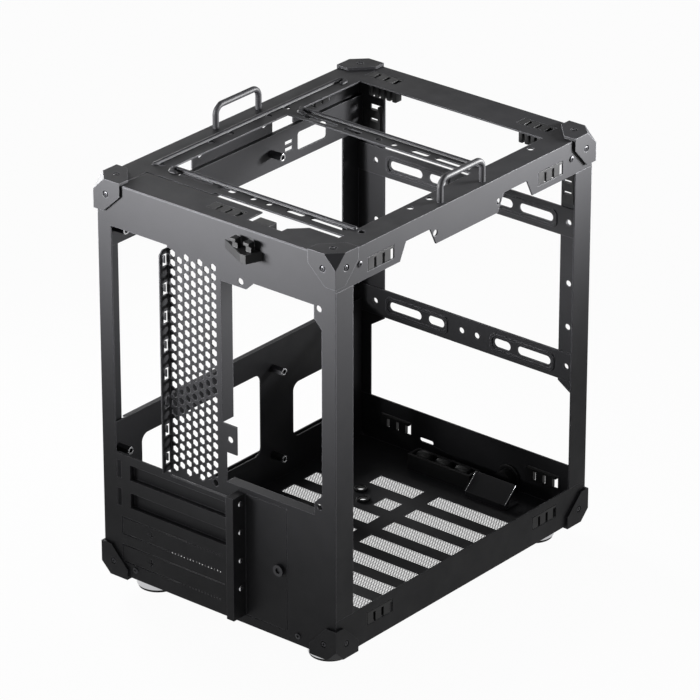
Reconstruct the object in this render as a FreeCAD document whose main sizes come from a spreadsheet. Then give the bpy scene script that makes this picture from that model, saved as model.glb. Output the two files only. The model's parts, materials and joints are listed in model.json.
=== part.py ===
import FreeCAD, Part
import math
import os

import Sketcher
from FreeCAD import Placement, Rotation, Vector

# Open-frame mini-tower computer case, shown without its outer panels.
# Millimetres, +Z up. X runs across the width, -Y is the rear with the connector opening, +Y is the front.
# The origin is on the floor, under the middle of the whole object's box.

doc = FreeCAD.newDocument("mini_tower_case")
sheet = doc.addObject("Spreadsheet::Sheet", "Sizes")


class Dim:
    """A length that knows its value and the spreadsheet expression it comes from."""

    def __init__(self, value, text):
        self.value = value
        self.text = text

    @staticmethod
    def of(number):
        """Wrap a plain number, and leave a Dim as it is."""
        return number if isinstance(number, Dim) else Dim(float(number), repr(float(number)))

    def join(self, other, sign, value):
        """Write both expressions side by side with an operator between them."""
        return Dim(value, "(" + self.text + sign + Dim.of(other).text + ")")

    def __add__(self, other):
        return self.join(other, " + ", self.value + Dim.of(other).value)

    def __sub__(self, other):
        return self.join(other, " - ", self.value - Dim.of(other).value)

    def __mul__(self, other):
        return self.join(other, " * ", self.value * Dim.of(other).value)

    def __truediv__(self, other):
        return self.join(other, " / ", self.value / Dim.of(other).value)

    def __neg__(self):
        return Dim(-self.value, "(-1 * " + self.text + ")")

    def __radd__(self, other):
        return Dim.of(other) + self

    def __rsub__(self, other):
        return Dim.of(other) - self

    def __rmul__(self, other):
        return Dim.of(other) * self


def size(name, value):
    """Put one driving size in the spreadsheet and return it."""
    size.row += 1
    sheet.set("A%d" % size.row, name)
    sheet.set("B%d" % size.row, str(value))
    sheet.setAlias("B%d" % size.row, name)
    return Dim(float(value), "Sizes." + name)


size.row = 0

# Frame
frame_width = size("frame_width", 198.0)
frame_depth = size("frame_depth", 262.0)
frame_height = size("frame_height", 281.0)
sheet_thick = size("sheet_thick", 1.0)
fit_gap = size("fit_gap", 0.4)
corner_relief = size("corner_relief", 7.6)

# Feet
foot_height = size("foot_height", 13.0)
foot_radius = size("foot_radius", 14.5)
foot_side_inset = size("foot_side_inset", 25.0)
foot_end_inset = size("foot_end_inset", 24.0)
foot_pad_height = size("foot_pad_height", 2.0)
foot_pad_step = size("foot_pad_step", 1.0)

# Corner brackets
bracket_thick = size("bracket_thick", 1.8)
bracket_reach = size("bracket_reach", 22.5)
bracket_corner = size("bracket_corner", 9.4)
bracket_low_corner = size("bracket_low_corner", 7.6)
bracket_tip = size("bracket_tip", 8.5)

# Posts
post_side = size("post_side", 17.5)
post_tongue = size("post_tongue", 10.0)
front_post_width = size("front_post_width", 23.8)
front_post_low_width = size("front_post_low_width", 12.0)
gusset_low = size("gusset_low", 87.1)
gusset_top = size("gusset_top", 94.8)
post_hole_inset = size("post_hole_inset", 16.6)
post_hole_low = size("post_hole_low", 135.8)
post_hole_high = size("post_hole_high", 167.6)
post_window_inset = size("post_window_inset", 11.9)
post_window_low = size("post_window_low", 226.0)
post_slit_level = size("post_slit_level", 258.4)
post_slit_length = size("post_slit_length", 9.0)
post_slit_radius = size("post_slit_radius", 0.8)

# Top frame
top_flange = size("top_flange", 24.0)
top_front_flange = size("top_front_flange", 14.0)
flange_notch = size("flange_notch", 12.0)
flange_notch_start = size("flange_notch_start", 69.4)
right_notch_length = size("right_notch_length", 24.0)
right_notch_slope = size("right_notch_slope", 6.0)
left_notch_length = size("left_notch_length", 21.4)
flange_hole_drop = size("flange_hole_drop", 16.4)
flange_hole_spread = size("flange_hole_spread", 32.2)
rear_band = size("rear_band", 26.0)
slit_width = size("slit_width", 4.2)
slit_left = size("slit_left", 25.0)
seam_left = size("seam_left", 80.4)
seam_width = size("seam_width", 1.2)
seam_start = size("seam_start", 9.0)
left_rail = size("left_rail", 26.0)
right_rail = size("right_rail", 18.5)
front_rail = size("front_rail", 29.5)
fan_rail_width = size("fan_rail_width", 15.0)
fan_rail_line = size("fan_rail_line", 8.0)
fan_rail_front_line = size("fan_rail_front_line", 5.0)
top_fan_pitch = size("top_fan_pitch", 124.5)
top_fan_middle = size("top_fan_middle", 6.5)
bead_width = size("bead_width", 2.6)
bead_height = size("bead_height", 1.2)
bead_inset = size("bead_inset", 1.0)
side_bead_inset = size("side_bead_inset", 13.0)
side_bead_start = size("side_bead_start", 38.0)
side_bead_end = size("side_bead_end", 226.0)
side_bead_round = size("side_bead_round", 0.9)
left_hole_inset = size("left_hole_inset", 18.5)
right_hole_inset = size("right_hole_inset", 13.5)
rail_hole_first = size("rail_hole_first", 42.0)
rail_hole_second = size("rail_hole_second", 90.0)
rail_hole_third = size("rail_hole_third", 109.3)
left_hole_fourth = size("left_hole_fourth", 147.6)
left_hole_last = size("left_hole_last", 165.7)
right_hole_last = size("right_hole_last", 213.4)

# Fan slots
fan_slot_radius = size("fan_slot_radius", 2.1)
fan_hole_spread = size("fan_hole_spread", 6.6)
short_slot_place = size("short_slot_place", 28.6)
short_slot_length = size("short_slot_length", 14.0)
long_slot_place = size("long_slot_place", 55.5)
long_slot_length = size("long_slot_length", 28.0)
fan_hole_radius = size("fan_hole_radius", 2.2)

# Front fan rails
front_fan_pitch = size("front_fan_pitch", 105.0)
front_fan_low = size("front_fan_low", 107.0)
front_rail_height = size("front_rail_height", 20.5)
front_slot_radius = size("front_slot_radius", 3.2)
front_rail_bead = size("front_rail_bead", 0.8)
front_bead_gap = size("front_bead_gap", 1.6)
front_bead_width = size("front_bead_width", 1.6)
front_bead_corner = size("front_bead_corner", 2.4)

# Panel clip windows
window_length = size("window_length", 26.0)
window_height = size("window_height", 9.6)
window_inset = size("window_inset", 31.5)
window_drop = size("window_drop", 10.0)
window_rise = size("window_rise", 11.5)
front_window_inset = size("front_window_inset", 22.0)
front_window_rise = size("front_window_rise", 13.4)
clip_depth = size("clip_depth", 3.0)
clip_teeth = 3
clip_tooth = size("clip_tooth", 5.8)
clip_gap = size("clip_gap", 2.4)
clip_bar = size("clip_bar", 1.8)

# Floor pan
floor_flange = size("floor_flange", 26.5)
floor_front = size("floor_front", 33.6)
lead_slot_left = size("lead_slot_left", 37.0)
lead_slot_level = size("lead_slot_level", 13.2)
lead_slot_length = size("lead_slot_length", 12.0)
lead_slot_radius = size("lead_slot_radius", 1.5)
button_right = size("button_right", 35.5)
button_level = size("button_level", 9.4)
button_hole = size("button_hole", 8.0)
button_radius = size("button_radius", 6.4)
button_depth = size("button_depth", 9.0)
patch_rows = 8
patch_row_pitch = size("patch_row_pitch", 24.0)
patch_width = size("patch_width", 14.0)
patch_first = size("patch_first", 49.0)
patch_right_start = size("patch_right_start", 6.7)
patch_right_end = size("patch_right_end", 68.0)
patch_left_start = size("patch_left_start", 81.5)
patch_left_end = size("patch_left_end", 4.9)
patch_short_first = size("patch_short_first", 44.0)
patch_short_second = size("patch_short_second", 20.4)
patch_slits = 4
patch_bar = size("patch_bar", 1.4)
grommet_hole = size("grommet_hole", 3.2)
grommet_left = size("grommet_left", 35.0)
grommet_spread = size("grommet_spread", 5.5)
grommet_front = size("grommet_front", 73.5)

# Rear panel
rear_strip = size("rear_strip", 11.0)
io_right = size("io_right", 40.0)
io_bottom = size("io_bottom", 89.0)
io_top = size("io_top", 250.5)
io_lip_reach = size("io_lip_reach", 8.0)
io_lip_low = size("io_lip_low", 92.0)
io_lip_top = size("io_lip_top", 249.0)
io_lip_corner = size("io_lip_corner", 3.0)
io_notches = 8
io_notch_pitch = size("io_notch_pitch", 20.0)
io_notch_top = size("io_notch_top", 245.8)
io_notch_rim = size("io_notch_rim", 2.8)
io_notch_width = size("io_notch_width", 4.4)
io_notch_height = size("io_notch_height", 8.5)
vent_pitch = size("vent_pitch", 6.6)
vent_hole = size("vent_hole", 5.4)
vent_columns = 7
vent_rows = 24
vent_left = size("vent_left", 35.6)
vent_top = size("vent_top", 246.0)
psu_left = size("psu_left", 5.1)
psu_bottom = size("psu_bottom", 98.3)
psu_top = size("psu_top", 244.7)
psu_tab_drop = size("psu_tab_drop", 5.8)
psu_tab_width = size("psu_tab_width", 21.0)
psu_tab_slope = size("psu_tab_slope", 6.2)
psu_side_tab = size("psu_side_tab", 6.3)
psu_side_drop = size("psu_side_drop", 9.0)
psu_low_tab_width = size("psu_low_tab_width", 12.0)
psu_low_tab_top = size("psu_low_tab_top", 139.5)
psu_low_tab_low = size("psu_low_tab_low", 119.5)
psu_low_edge = size("psu_low_edge", 3.0)
psu_return = size("psu_return", 11.0)
psu_hole_radius = size("psu_hole_radius", 2.3)
psu_hole_right = size("psu_hole_right", 85.6)
psu_hole_top = size("psu_hole_top", 243.0)
psu_hole_pair = size("psu_hole_pair", 64.0)
psu_hole_rise = size("psu_hole_rise", 138.0)
psu_low_hole = size("psu_low_hole", 74.0)
psu_low_hole_drop = size("psu_low_hole_drop", 114.0)
sill_return = size("sill_return", 8.0)

# Expansion slots
slot_pitch = size("slot_pitch", 20.32)
slot_height = size("slot_height", 11.0)
slot_first = size("slot_first", 77.4)
slot_left = size("slot_left", 75.6)
slot_notch_left = size("slot_notch_left", 87.4)
slot_notch_width = size("slot_notch_width", 4.0)
slot_notch_height = size("slot_notch_height", 13.0)
open_slots = 2
slot_count = 4
slot_slit_left = size("slot_slit_left", 40.0)
slot_slit_right = size("slot_slit_right", 10.0)
slot_slit_height = size("slot_slit_height", 1.4)
slot_slit_level = size("slot_slit_level", 86.6)
slot_cut = size("slot_cut", 0.8)
slot_cut_left = size("slot_cut_left", 83.6)
slot_cut_height = size("slot_cut_height", 13.0)
break_top_ends = (size("first_break_top", -27.0), size("second_break_top", 5.0))
break_low_ends = (size("first_break_low", -41.9), size("second_break_low", -32.0))
dot_end = size("dot_end", 3.0)
dot_size = size("dot_size", 1.0)
dot_pitch = size("dot_pitch", 2.6)
cross_left = size("cross_left", 58.2)
cross_reach = size("cross_reach", 2.8)
cross_arm = size("cross_arm", 0.5)
cover_width = size("cover_width", 18.4)
cover_overlap = size("cover_overlap", 7.0)
cover_depth = size("cover_depth", 3.0)
ledge_right = size("ledge_right", 23.5)
ledge_width = size("ledge_width", 6.0)
ledge_depth = size("ledge_depth", 12.0)
ledge_low = size("ledge_low", 6.5)
ledge_top = size("ledge_top", 95.0)
ledge_hole = size("ledge_hole", 1.75)
ledge_hole_first = size("ledge_hole_first", 89.4)
ledge_hole_depth = size("ledge_hole_depth", 6.5)
access_right = size("access_right", 58.8)
thumb_radius = size("thumb_radius", 4.0)
thumb_head = size("thumb_head", 2.6)
thumb_inset = size("thumb_inset", 6.0)
thumb_level = size("thumb_level", 49.5)

# Motherboard tray
tray_inset = size("tray_inset", 4.5)
tray_low_top = size("tray_low_top", 105.5)
tray_high_low = size("tray_high_low", 231.5)
tray_window_low = size("tray_window_low", 26.0)
tray_window_top = size("tray_window_top", 87.0)
tray_window_rear = size("tray_window_rear", 33.0)
tray_window_length = size("tray_window_length", 120.0)
tray_window_round = size("tray_window_round", 6.0)
tray_side_window = size("tray_side_window", 187.0)
tray_side_length = size("tray_side_length", 44.0)
tray_side_top = size("tray_side_top", 67.0)
tray_cable_rear = size("tray_cable_rear", 193.0)
tray_cable_length = size("tray_cable_length", 30.0)
tray_cable_height = size("tray_cable_height", 13.0)
tray_cable_round = size("tray_cable_round", 2.0)
tray_slot_rear = size("tray_slot_rear", 180.0)
tray_slot_length = size("tray_slot_length", 7.8)
tray_slot_height = size("tray_slot_height", 2.8)
tray_slot_spread = size("tray_slot_spread", 2.4)
tray_relief = size("tray_relief", 2.0)
standoff_length = size("standoff_length", 10.0)
standoff_radius = size("standoff_radius", 3.0)
standoff_bore = size("standoff_bore", 1.6)
standoff_column = size("standoff_column", 154.94)
standoff_row = size("standoff_row", 157.48)
standoff_low_row = size("standoff_low_row", 65.5)
standoff_rear = size("standoff_rear", 10.8)
standoff_top = size("standoff_top", 244.2)

# Handles
handle_bar = size("handle_bar", 4.2)
handle_length = size("handle_length", 47.0)
handle_rise = size("handle_rise", 17.5)
handle_bend = size("handle_bend", 6.0)
handle_inset = size("handle_inset", 5.2)

# Rear panel latch
latch_left = size("latch_left", 9.0)
latch_right = size("latch_right", 40.0)
latch_slope = size("latch_slope", 22.0)
latch_reach = size("latch_reach", 11.0)
latch_low = size("latch_low", 262.6)
latch_height = size("latch_height", 6.0)
latch_prong = size("latch_prong", 4.4)
latch_prong_rise = size("latch_prong_rise", 7.0)
latch_prong_pitch = size("latch_prong_pitch", 11.0)
latch_prong_start = size("latch_prong_start", 11.0)
latch_prong_base = size("latch_prong_base", 5.5)
latch_prong_thick = size("latch_prong_thick", 3.0)
latch_hook = size("latch_hook", 2.4)
latch_hook_low = size("latch_hook_low", 4.9)
latch_hook_root = size("latch_hook_root", 3.5)
latch_block_depth = size("latch_block_depth", 19.0)
latch_notch_left = size("latch_notch_left", 18.0)
latch_notch_right = size("latch_notch_right", 46.5)
latch_notch_depth = size("latch_notch_depth", 15.0)
latch_notch_slope = size("latch_notch_slope", 10.0)

# Pieces on the floor at the front
holder_length = size("holder_length", 54.0)
holder_depth = size("holder_depth", 12.0)
holder_height = size("holder_height", 11.4)
holder_left = size("holder_left", 36.0)
holder_wall = size("holder_wall", 2.0)
holder_inset = size("holder_inset", 10.0)
plate_length = size("plate_length", 34.8)
plate_height = size("plate_height", 10.6)
plate_lean = size("plate_lean", 12.0)
plate_riser = size("plate_riser", 4.0)
plate_left = size("plate_left", 20.6)
plate_foot = size("plate_foot", 14.0)
plate_inset = size("plate_inset", 30.5)

# Places worked out from the driving sizes
half_width = frame_width / 2
shift = (ledge_depth - bracket_thick) / 2
rear = shift - frame_depth / 2
front = shift + frame_depth / 2
bottom = foot_height
top = foot_height + frame_height
side_low = bottom + floor_flange
side_high = top - top_flange
rail_one = rear + rear_band + slit_width
rail_one_line = rail_one + fan_rail_line
rail_two_line = rail_one_line + top_fan_pitch
rail_two = rail_two_line - fan_rail_front_line
tray_face = tray_inset - half_width

ROLE_FOR = {"x": "YZ_Plane", "y": "XZ_Plane", "z": "XY_Plane"}
LOOPS_PER_CUT = 8
UP = Vector(0, 0, 1)
NODES = []


def above(level):
    """Height over the floor of a level measured from the frame's lower edge."""
    return bottom + level


def behind(distance):
    """Place along Y of a distance measured forward from the rear face."""
    return rear + distance


def node(feature, label):
    """Register a finished sub-part under the name of its file."""
    feature.Label = label
    NODES.append(feature)
    return feature


def new_body(label):
    """Start a body for one sub-part."""
    return node(doc.addObject("PartDesign::Body", label), label)


def origin_plane(body, role):
    """The body's own origin plane with this role."""
    return [f for f in body.Origin.OriginFeatures if f.Role == role][0]


class Profile:
    """Loops for one sketch of a body, gathered first and then put into the sketch together."""

    def __init__(self, body, axis, level):
        self.body = body
        self.axis = axis
        self.level = Dim.of(level)
        self.geometry = []
        self.constraints = []
        self.bound = []

    def add(self, pieces):
        """Add pieces of geometry and return the number of the first."""
        first = len(self.geometry)
        self.geometry += pieces
        return first

    def hold(self, constraint, dim=None):
        """Add a constraint, and remember the expression of one that has a size."""
        if dim is not None:
            self.bound.append((len(self.constraints), dim.text))
        self.constraints.append(constraint)

    def pin(self, geometry, point, across, up):
        """Hold one point at two bound distances from the sketch's origin."""
        for kind, dim in (("DistanceX", Dim.of(across)), ("DistanceY", Dim.of(up))):
            self.hold(Sketcher.Constraint(kind, -1, 1, geometry, point, dim.value), dim)

    def hold_radius(self, geometry, radius):
        """Bind the radius of an arc or a circle."""
        self.hold(Sketcher.Constraint("Radius", geometry, radius.value), radius)

    def polygon(self, points):
        """A closed outline of straight lines through bound points."""
        corners = [Vector(Dim.of(a).value, Dim.of(b).value, 0) for a, b in points]
        first = self.add([Part.LineSegment(p, q) for p, q in zip(corners, corners[1:] + corners[:1])])
        count = len(points)
        for k, (across, up) in enumerate(points):
            after = first + (k + 1) % count
            self.hold(Sketcher.Constraint("Coincident", first + k, 2, after, 1))
            self.pin(first + k, 1, across, up)

    def circle(self, across, up, radius):
        """A circle with a bound centre and radius."""
        across, up, radius = (Dim.of(d) for d in (across, up, radius))
        number = self.add([Part.Circle(Vector(across.value, up.value, 0), Vector(0, 0, 1), radius.value)])
        self.pin(number, 3, across, up)
        self.hold_radius(number, radius)

    def arc(self, across, up, radius, start, stop):
        """An arc between two angles, as a piece of geometry."""
        circle = Part.Circle(Vector(across.value, up.value, 0), Vector(0, 0, 1), radius.value)
        return Part.ArcOfCircle(circle, start, stop)

    def rounded(self, centres, radius):
        """A closed outline of equal arcs about bound centres, joined by tangent lines."""
        count = len(centres)
        step = 2 * math.pi / count
        begin = -math.pi / 2 if count == 2 else 0.0
        arcs = [self.arc(a, b, radius, begin + k * step, begin + (k + 1) * step)
                for k, (a, b) in enumerate(centres)]
        first = self.add(arcs)
        for k in range(count):
            after = (k + 1) % count
            line = self.add([Part.LineSegment(arcs[k].EndPoint, arcs[after].StartPoint)])
            self.hold(Sketcher.Constraint("Tangent", first + k, 2, line, 1))
            self.hold(Sketcher.Constraint("Tangent", line, 2, first + after, 1))
        for k, (across, up) in enumerate(centres):
            self.pin(first + k, 3, across, up)
        self.hold_radius(first, radius)

    def round_box(self, left, right, low, high, radius):
        """A rectangle with round corners."""
        self.rounded([(right - radius, high - radius), (left + radius, high - radius),
                      (left + radius, low + radius), (right - radius, low + radius)], radius)

    def slot(self, across, up, length, radius):
        """A round-ended slot along the sketch's first axis."""
        reach = length / 2 - radius
        self.rounded([(across + reach, up), (across - reach, up)], radius)

    def sketch(self):
        """The finished sketch on the body's own origin plane, moved along its normal to the level."""
        sketch = self.body.newObject("Sketcher::SketchObject", self.body.Label + "_sketch")
        sketch.AttachmentSupport = [(origin_plane(self.body, ROLE_FOR[self.axis]), "")]
        sketch.MapMode = "FlatFace"
        offset = -self.level if self.axis == "y" else self.level
        sketch.setExpression("AttachmentOffset.Base.z", offset.text)
        sketch.addGeometry(self.geometry, False)
        sketch.addConstraint(self.constraints)
        for number, text in self.bound:
            sketch.setExpression("Constraints[%d]" % number, text)
        return sketch


def rectangle(left, right, low, high):
    """The four corners of a rectangle."""
    return [(left, low), (right, low), (right, high), (left, high)]


def pad(profile, length):
    """Pad a profile along its plane's normal."""
    sketch = profile.sketch()
    feature = profile.body.newObject("PartDesign::Pad", profile.body.Label + "_fold")
    feature.Profile = sketch
    feature.Refine = False
    feature.setExpression("Length", Dim.of(length).text)


def punch(profile, step=None, count=1, along="V_Axis"):
    """Cut a profile through the sheet, once or as a row of copies down or across the sketch."""
    body = profile.body
    sketch = profile.sketch()
    pocket = body.newObject("PartDesign::Pocket", body.Label + "_punch")
    pocket.Profile = sketch
    pocket.Refine = False
    pocket.setExpression("Length", (sheet_thick * 2).text)
    body.Tip = pocket
    if count > 1:
        pattern = body.newObject("PartDesign::LinearPattern", body.Label + "_row")
        pattern.Originals = [pocket]
        pattern.Refine = False
        pattern.Direction = (sketch, [along])
        pattern.Reversed = along == "V_Axis"
        pattern.setExpression("Length", (step * (count - 1)).text)
        pattern.Occurrences = count
        body.Tip = pattern


def wall(body, axis, start, thick, outline, holes=(), slots=(), windows=()):
    """A flat wall of the body, square to an axis, from an outline with openings in it.

    holes are (across, up, radius), slots are (across, up, length, radius) and windows are point lists.
    """
    near, far = Dim.of(start), start + thick
    if axis == "y":
        near, far = far, near
    profile = Profile(body, axis, near)
    profile.polygon(outline)
    pad(profile, thick)
    cut_openings(body, axis, far, holes, slots, windows)


def cut_openings(body, axis, level, holes=(), slots=(), windows=()):
    """Cut openings through a sheet from the face its sketches lie on, a few loops to a sketch."""
    loops = [(Profile.polygon, (points,)) for points in windows]
    loops += [(Profile.circle, hole) for hole in holes]
    loops += [(Profile.slot, slot) for slot in slots]
    for first in range(0, len(loops), LOOPS_PER_CUT):
        profile = Profile(body, axis, level)
        for draw, values in loops[first:first + LOOPS_PER_CUT]:
            draw(profile, *values)
        punch(profile)


def bound_cylinder(name, radius, length, place, direction):
    """A Part cylinder of bound size from a bound place along a direction."""
    cylinder = doc.addObject("Part::Cylinder", name)
    cylinder.setExpression("Radius", Dim.of(radius).text)
    cylinder.setExpression("Height", Dim.of(length).text)
    cylinder.Placement = Placement(Vector(), Rotation(UP, direction))
    bind_place(cylinder, place)
    return cylinder


def bind_place(feature, place):
    """Bind where a feature stands."""
    for axis, value in zip("xyz", place):
        feature.setExpression("Placement.Base." + axis, Dim.of(value).text)


def group(label, members):
    """One node that holds several separate solids."""
    compound = doc.addObject("Part::Compound", label)
    compound.Links = members
    return node(compound, label)


def notched_box(left, right, low, high, bite):
    """A rectangle with a square bitten out of each corner."""
    return [(left + bite, low), (right - bite, low), (right - bite, low + bite), (right, low + bite),
            (right, high - bite), (right - bite, high - bite), (right - bite, high),
            (left + bite, high), (left + bite, high - bite), (left, high - bite),
            (left, low + bite), (left + bite, low + bite)]


def fan_openings(middle, line, radius):
    """Slots of one fan rail: two short and two long ones, mirrored about its middle."""
    slots = []
    for sign in (-1, 1):
        slots.append((middle + sign * short_slot_place, line, short_slot_length, radius))
        slots.append((middle + sign * long_slot_place, line, long_slot_length, radius))
    return slots


def fan_holes(middle, line):
    """The pair of round holes in the middle of one fan rail."""
    return [(middle + sign * fan_hole_spread, line, fan_hole_radius) for sign in (-1, 1)]


def clip_windows(low):
    """The two clip windows along one side flange, whose lower edges are at a level."""
    rear_start = behind(window_inset)
    front_start = front - window_inset - window_length
    return [rectangle(start, start + window_length, low, low + window_height)
            for start in (rear_start, front_start)]


def top_frame():
    """The stamped top: ring, two fan rails, side flanges, front lip and raised beads."""
    body = new_body("top_frame")
    left_edge = left_rail - half_width
    right_edge = half_width - right_rail
    band_edge = behind(rear_band)
    slit = [(-seam_left, behind(seam_start)), (seam_width - seam_left, behind(seam_start)),
            (seam_width - seam_left, band_edge), (latch_notch_left, band_edge),
            (latch_notch_left, band_edge - latch_notch_depth),
            (latch_notch_right, band_edge - latch_notch_depth),
            (latch_notch_right, band_edge - latch_notch_slope),
            (latch_notch_right + latch_notch_slope, band_edge),
            (right_edge, band_edge), (right_edge, rail_one), (-slit_left, rail_one),
            (-slit_left, band_edge + seam_width), (-seam_left, band_edge + seam_width)]
    windows = [slit,
               rectangle(left_edge, right_edge, rail_one + fan_rail_width, rail_two),
               rectangle(left_edge, right_edge, rail_two + fan_rail_width, front - front_rail)]
    for sign in (-1, 1):
        inner = sign * (half_width - front_window_inset - window_length / 2)
        windows.append(rectangle(inner - window_length / 2, inner + window_length / 2,
                                 front - window_drop - window_height, front - window_drop))
    windows.append(rectangle(-slit_left + window_drop, -slit_left + window_drop + window_length,
                             behind(window_drop), behind(window_drop) + window_height))
    slots = fan_openings(top_fan_middle, rail_one_line, fan_slot_radius)
    slots += fan_openings(top_fan_middle, rail_two_line, fan_slot_radius)
    holes = fan_holes(top_fan_middle, rail_one_line) + fan_holes(top_fan_middle, rail_two_line)
    for along in (rail_hole_first, rail_hole_second, rail_hole_third, left_hole_fourth, left_hole_last):
        holes.append((left_hole_inset - half_width, behind(along), fan_hole_radius))
    for along in (rail_hole_first, rail_hole_second, rail_hole_third, right_hole_last):
        holes.append((half_width - right_hole_inset, behind(along), fan_hole_radius))
    wall(body, "z", top - sheet_thick, sheet_thick,
         notched_box(-half_width, half_width, rear, front, corner_relief), holes, slots, windows)
    clip_level = top - window_drop - window_height
    for start, notch, slope in ((-half_width, left_notch_length, Dim.of(0)),
                                (half_width - sheet_thick, right_notch_length, right_notch_slope)):
        wall(body, "x", start, sheet_thick, flange_outline(notch, slope), flange_holes(), (),
             clip_windows(clip_level))
    lip = rectangle(corner_relief - half_width, half_width - corner_relief, top - top_front_flange, top)
    wall(body, "y", front - sheet_thick, sheet_thick, lip)
    add_beads(body, left_edge, right_edge)
    return body


def flange_outline(notch, slope):
    """Outline of a top side flange: full depth at the corners and tab, shallow in its two notches."""
    shallow = top - flange_notch
    deep = side_high
    near = rear + sheet_thick
    far = front - sheet_thick
    first = behind(flange_notch_start)
    second = front - flange_notch_start
    return [(near, deep), (first - slope, deep), (first, shallow), (first + notch, shallow),
            (first + notch + slope, deep), (second - notch - slope, deep), (second - notch, shallow),
            (second, shallow), (second + slope, deep), (far, deep), (far, top - corner_relief),
            (far - corner_relief, top - corner_relief), (far - corner_relief, top),
            (near + corner_relief, top), (near + corner_relief, top - corner_relief),
            (near, top - corner_relief)]


def flange_holes():
    """The two round holes between the notches of a top side flange."""
    middle = (rear + front) / 2
    level = top - flange_hole_drop
    return [(middle + sign * flange_hole_spread, level, fan_hole_radius) for sign in (-1, 1)]


def add_beads(body, left_edge, right_edge):
    """Raised stiffening beads along both fan rails and along the left rail."""
    sketch = Profile(body, "z", top)
    middle = (left_edge + right_edge) / 2
    length = right_edge - left_edge
    for start in (rail_one, rail_two):
        line = start + fan_rail_width - bead_inset - bead_width / 2
        sketch.slot(middle, line, length, bead_width / 2)
    pad(sketch, bead_height)
    side = Profile(body, "z", top)
    edge = side_bead_inset - half_width
    side.round_box(edge, edge + bead_width, behind(side_bead_start), behind(side_bead_end), side_bead_round)
    pad(side, bead_height)


def floor_pan():
    """The folded floor: side flanges, a front band, and mesh patches as rows of slits."""
    body = new_body("floor_pan")
    near = rear + sheet_thick
    outline = notched_box(-half_width, half_width, near, front, corner_relief)
    wall(body, "z", bottom, sheet_thick, outline, grommet_holes())
    far = front - sheet_thick
    side = [(near + corner_relief, bottom), (far - corner_relief, bottom),
            (far - corner_relief, bottom + corner_relief), (far, bottom + corner_relief),
            (far, side_low), (near, side_low), (near, bottom + corner_relief),
            (near + corner_relief, bottom + corner_relief)]
    for start in (-half_width, half_width - sheet_thick):
        wall(body, "x", start, sheet_thick, side, (), (), clip_windows(above(window_rise)))
    inner = half_width - front_window_inset - window_length
    band_windows = [rectangle(start, start + window_length, above(front_window_rise),
                              above(front_window_rise) + window_height)
                    for start in (inner, -inner - window_length)]
    lead_slot = (-lead_slot_left, above(lead_slot_level), lead_slot_length, lead_slot_radius)
    button_place = (button_right, above(button_level), button_hole)
    band = [(corner_relief - half_width, bottom), (half_width - corner_relief, bottom),
            (half_width - corner_relief, bottom + corner_relief), (half_width, bottom + corner_relief),
            (half_width, bottom + floor_front), (-half_width, bottom + floor_front),
            (-half_width, bottom + corner_relief), (corner_relief - half_width, bottom + corner_relief)]
    wall(body, "y", far, sheet_thick, band, [button_place], [lead_slot], band_windows)
    add_patches(body)
    return body


def add_patches(body):
    """Mesh patches of the floor in two columns; the first two on the left leave room for the grommets."""
    right = Profile(body, "z", bottom + sheet_thick)
    draw_patch(right, patch_right_start, patch_right_end, 0)
    punch(right, patch_row_pitch, patch_rows)
    for start, row, count in ((patch_short_first, 0, 1), (patch_short_second, 1, 1),
                              (patch_left_start, 2, patch_rows - 2)):
        left = Profile(body, "z", bottom + sheet_thick)
        draw_patch(left, -start, -patch_left_end, row)
        punch(left, patch_row_pitch, count)


def draw_patch(profile, start, stop, row):
    """The slits of one mesh patch, in a row counted from the front."""
    slit = (patch_width - patch_bar * (patch_slits - 1)) / patch_slits
    low = front - patch_first - patch_row_pitch * row - patch_width / 2
    for k in range(patch_slits):
        edge = low + (slit + patch_bar) * k
        profile.polygon(rectangle(start, stop, edge, edge + slit))


def grommet_places():
    """Centres of the two floor grommets, on a slanted pair."""
    return [(-grommet_left + sign * grommet_spread, front - grommet_front - sign * grommet_spread)
            for sign in (-1, 1)]


def grommet_holes():
    """The floor's holes under the grommets."""
    return [(across, along, grommet_hole) for across, along in grommet_places()]


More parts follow.
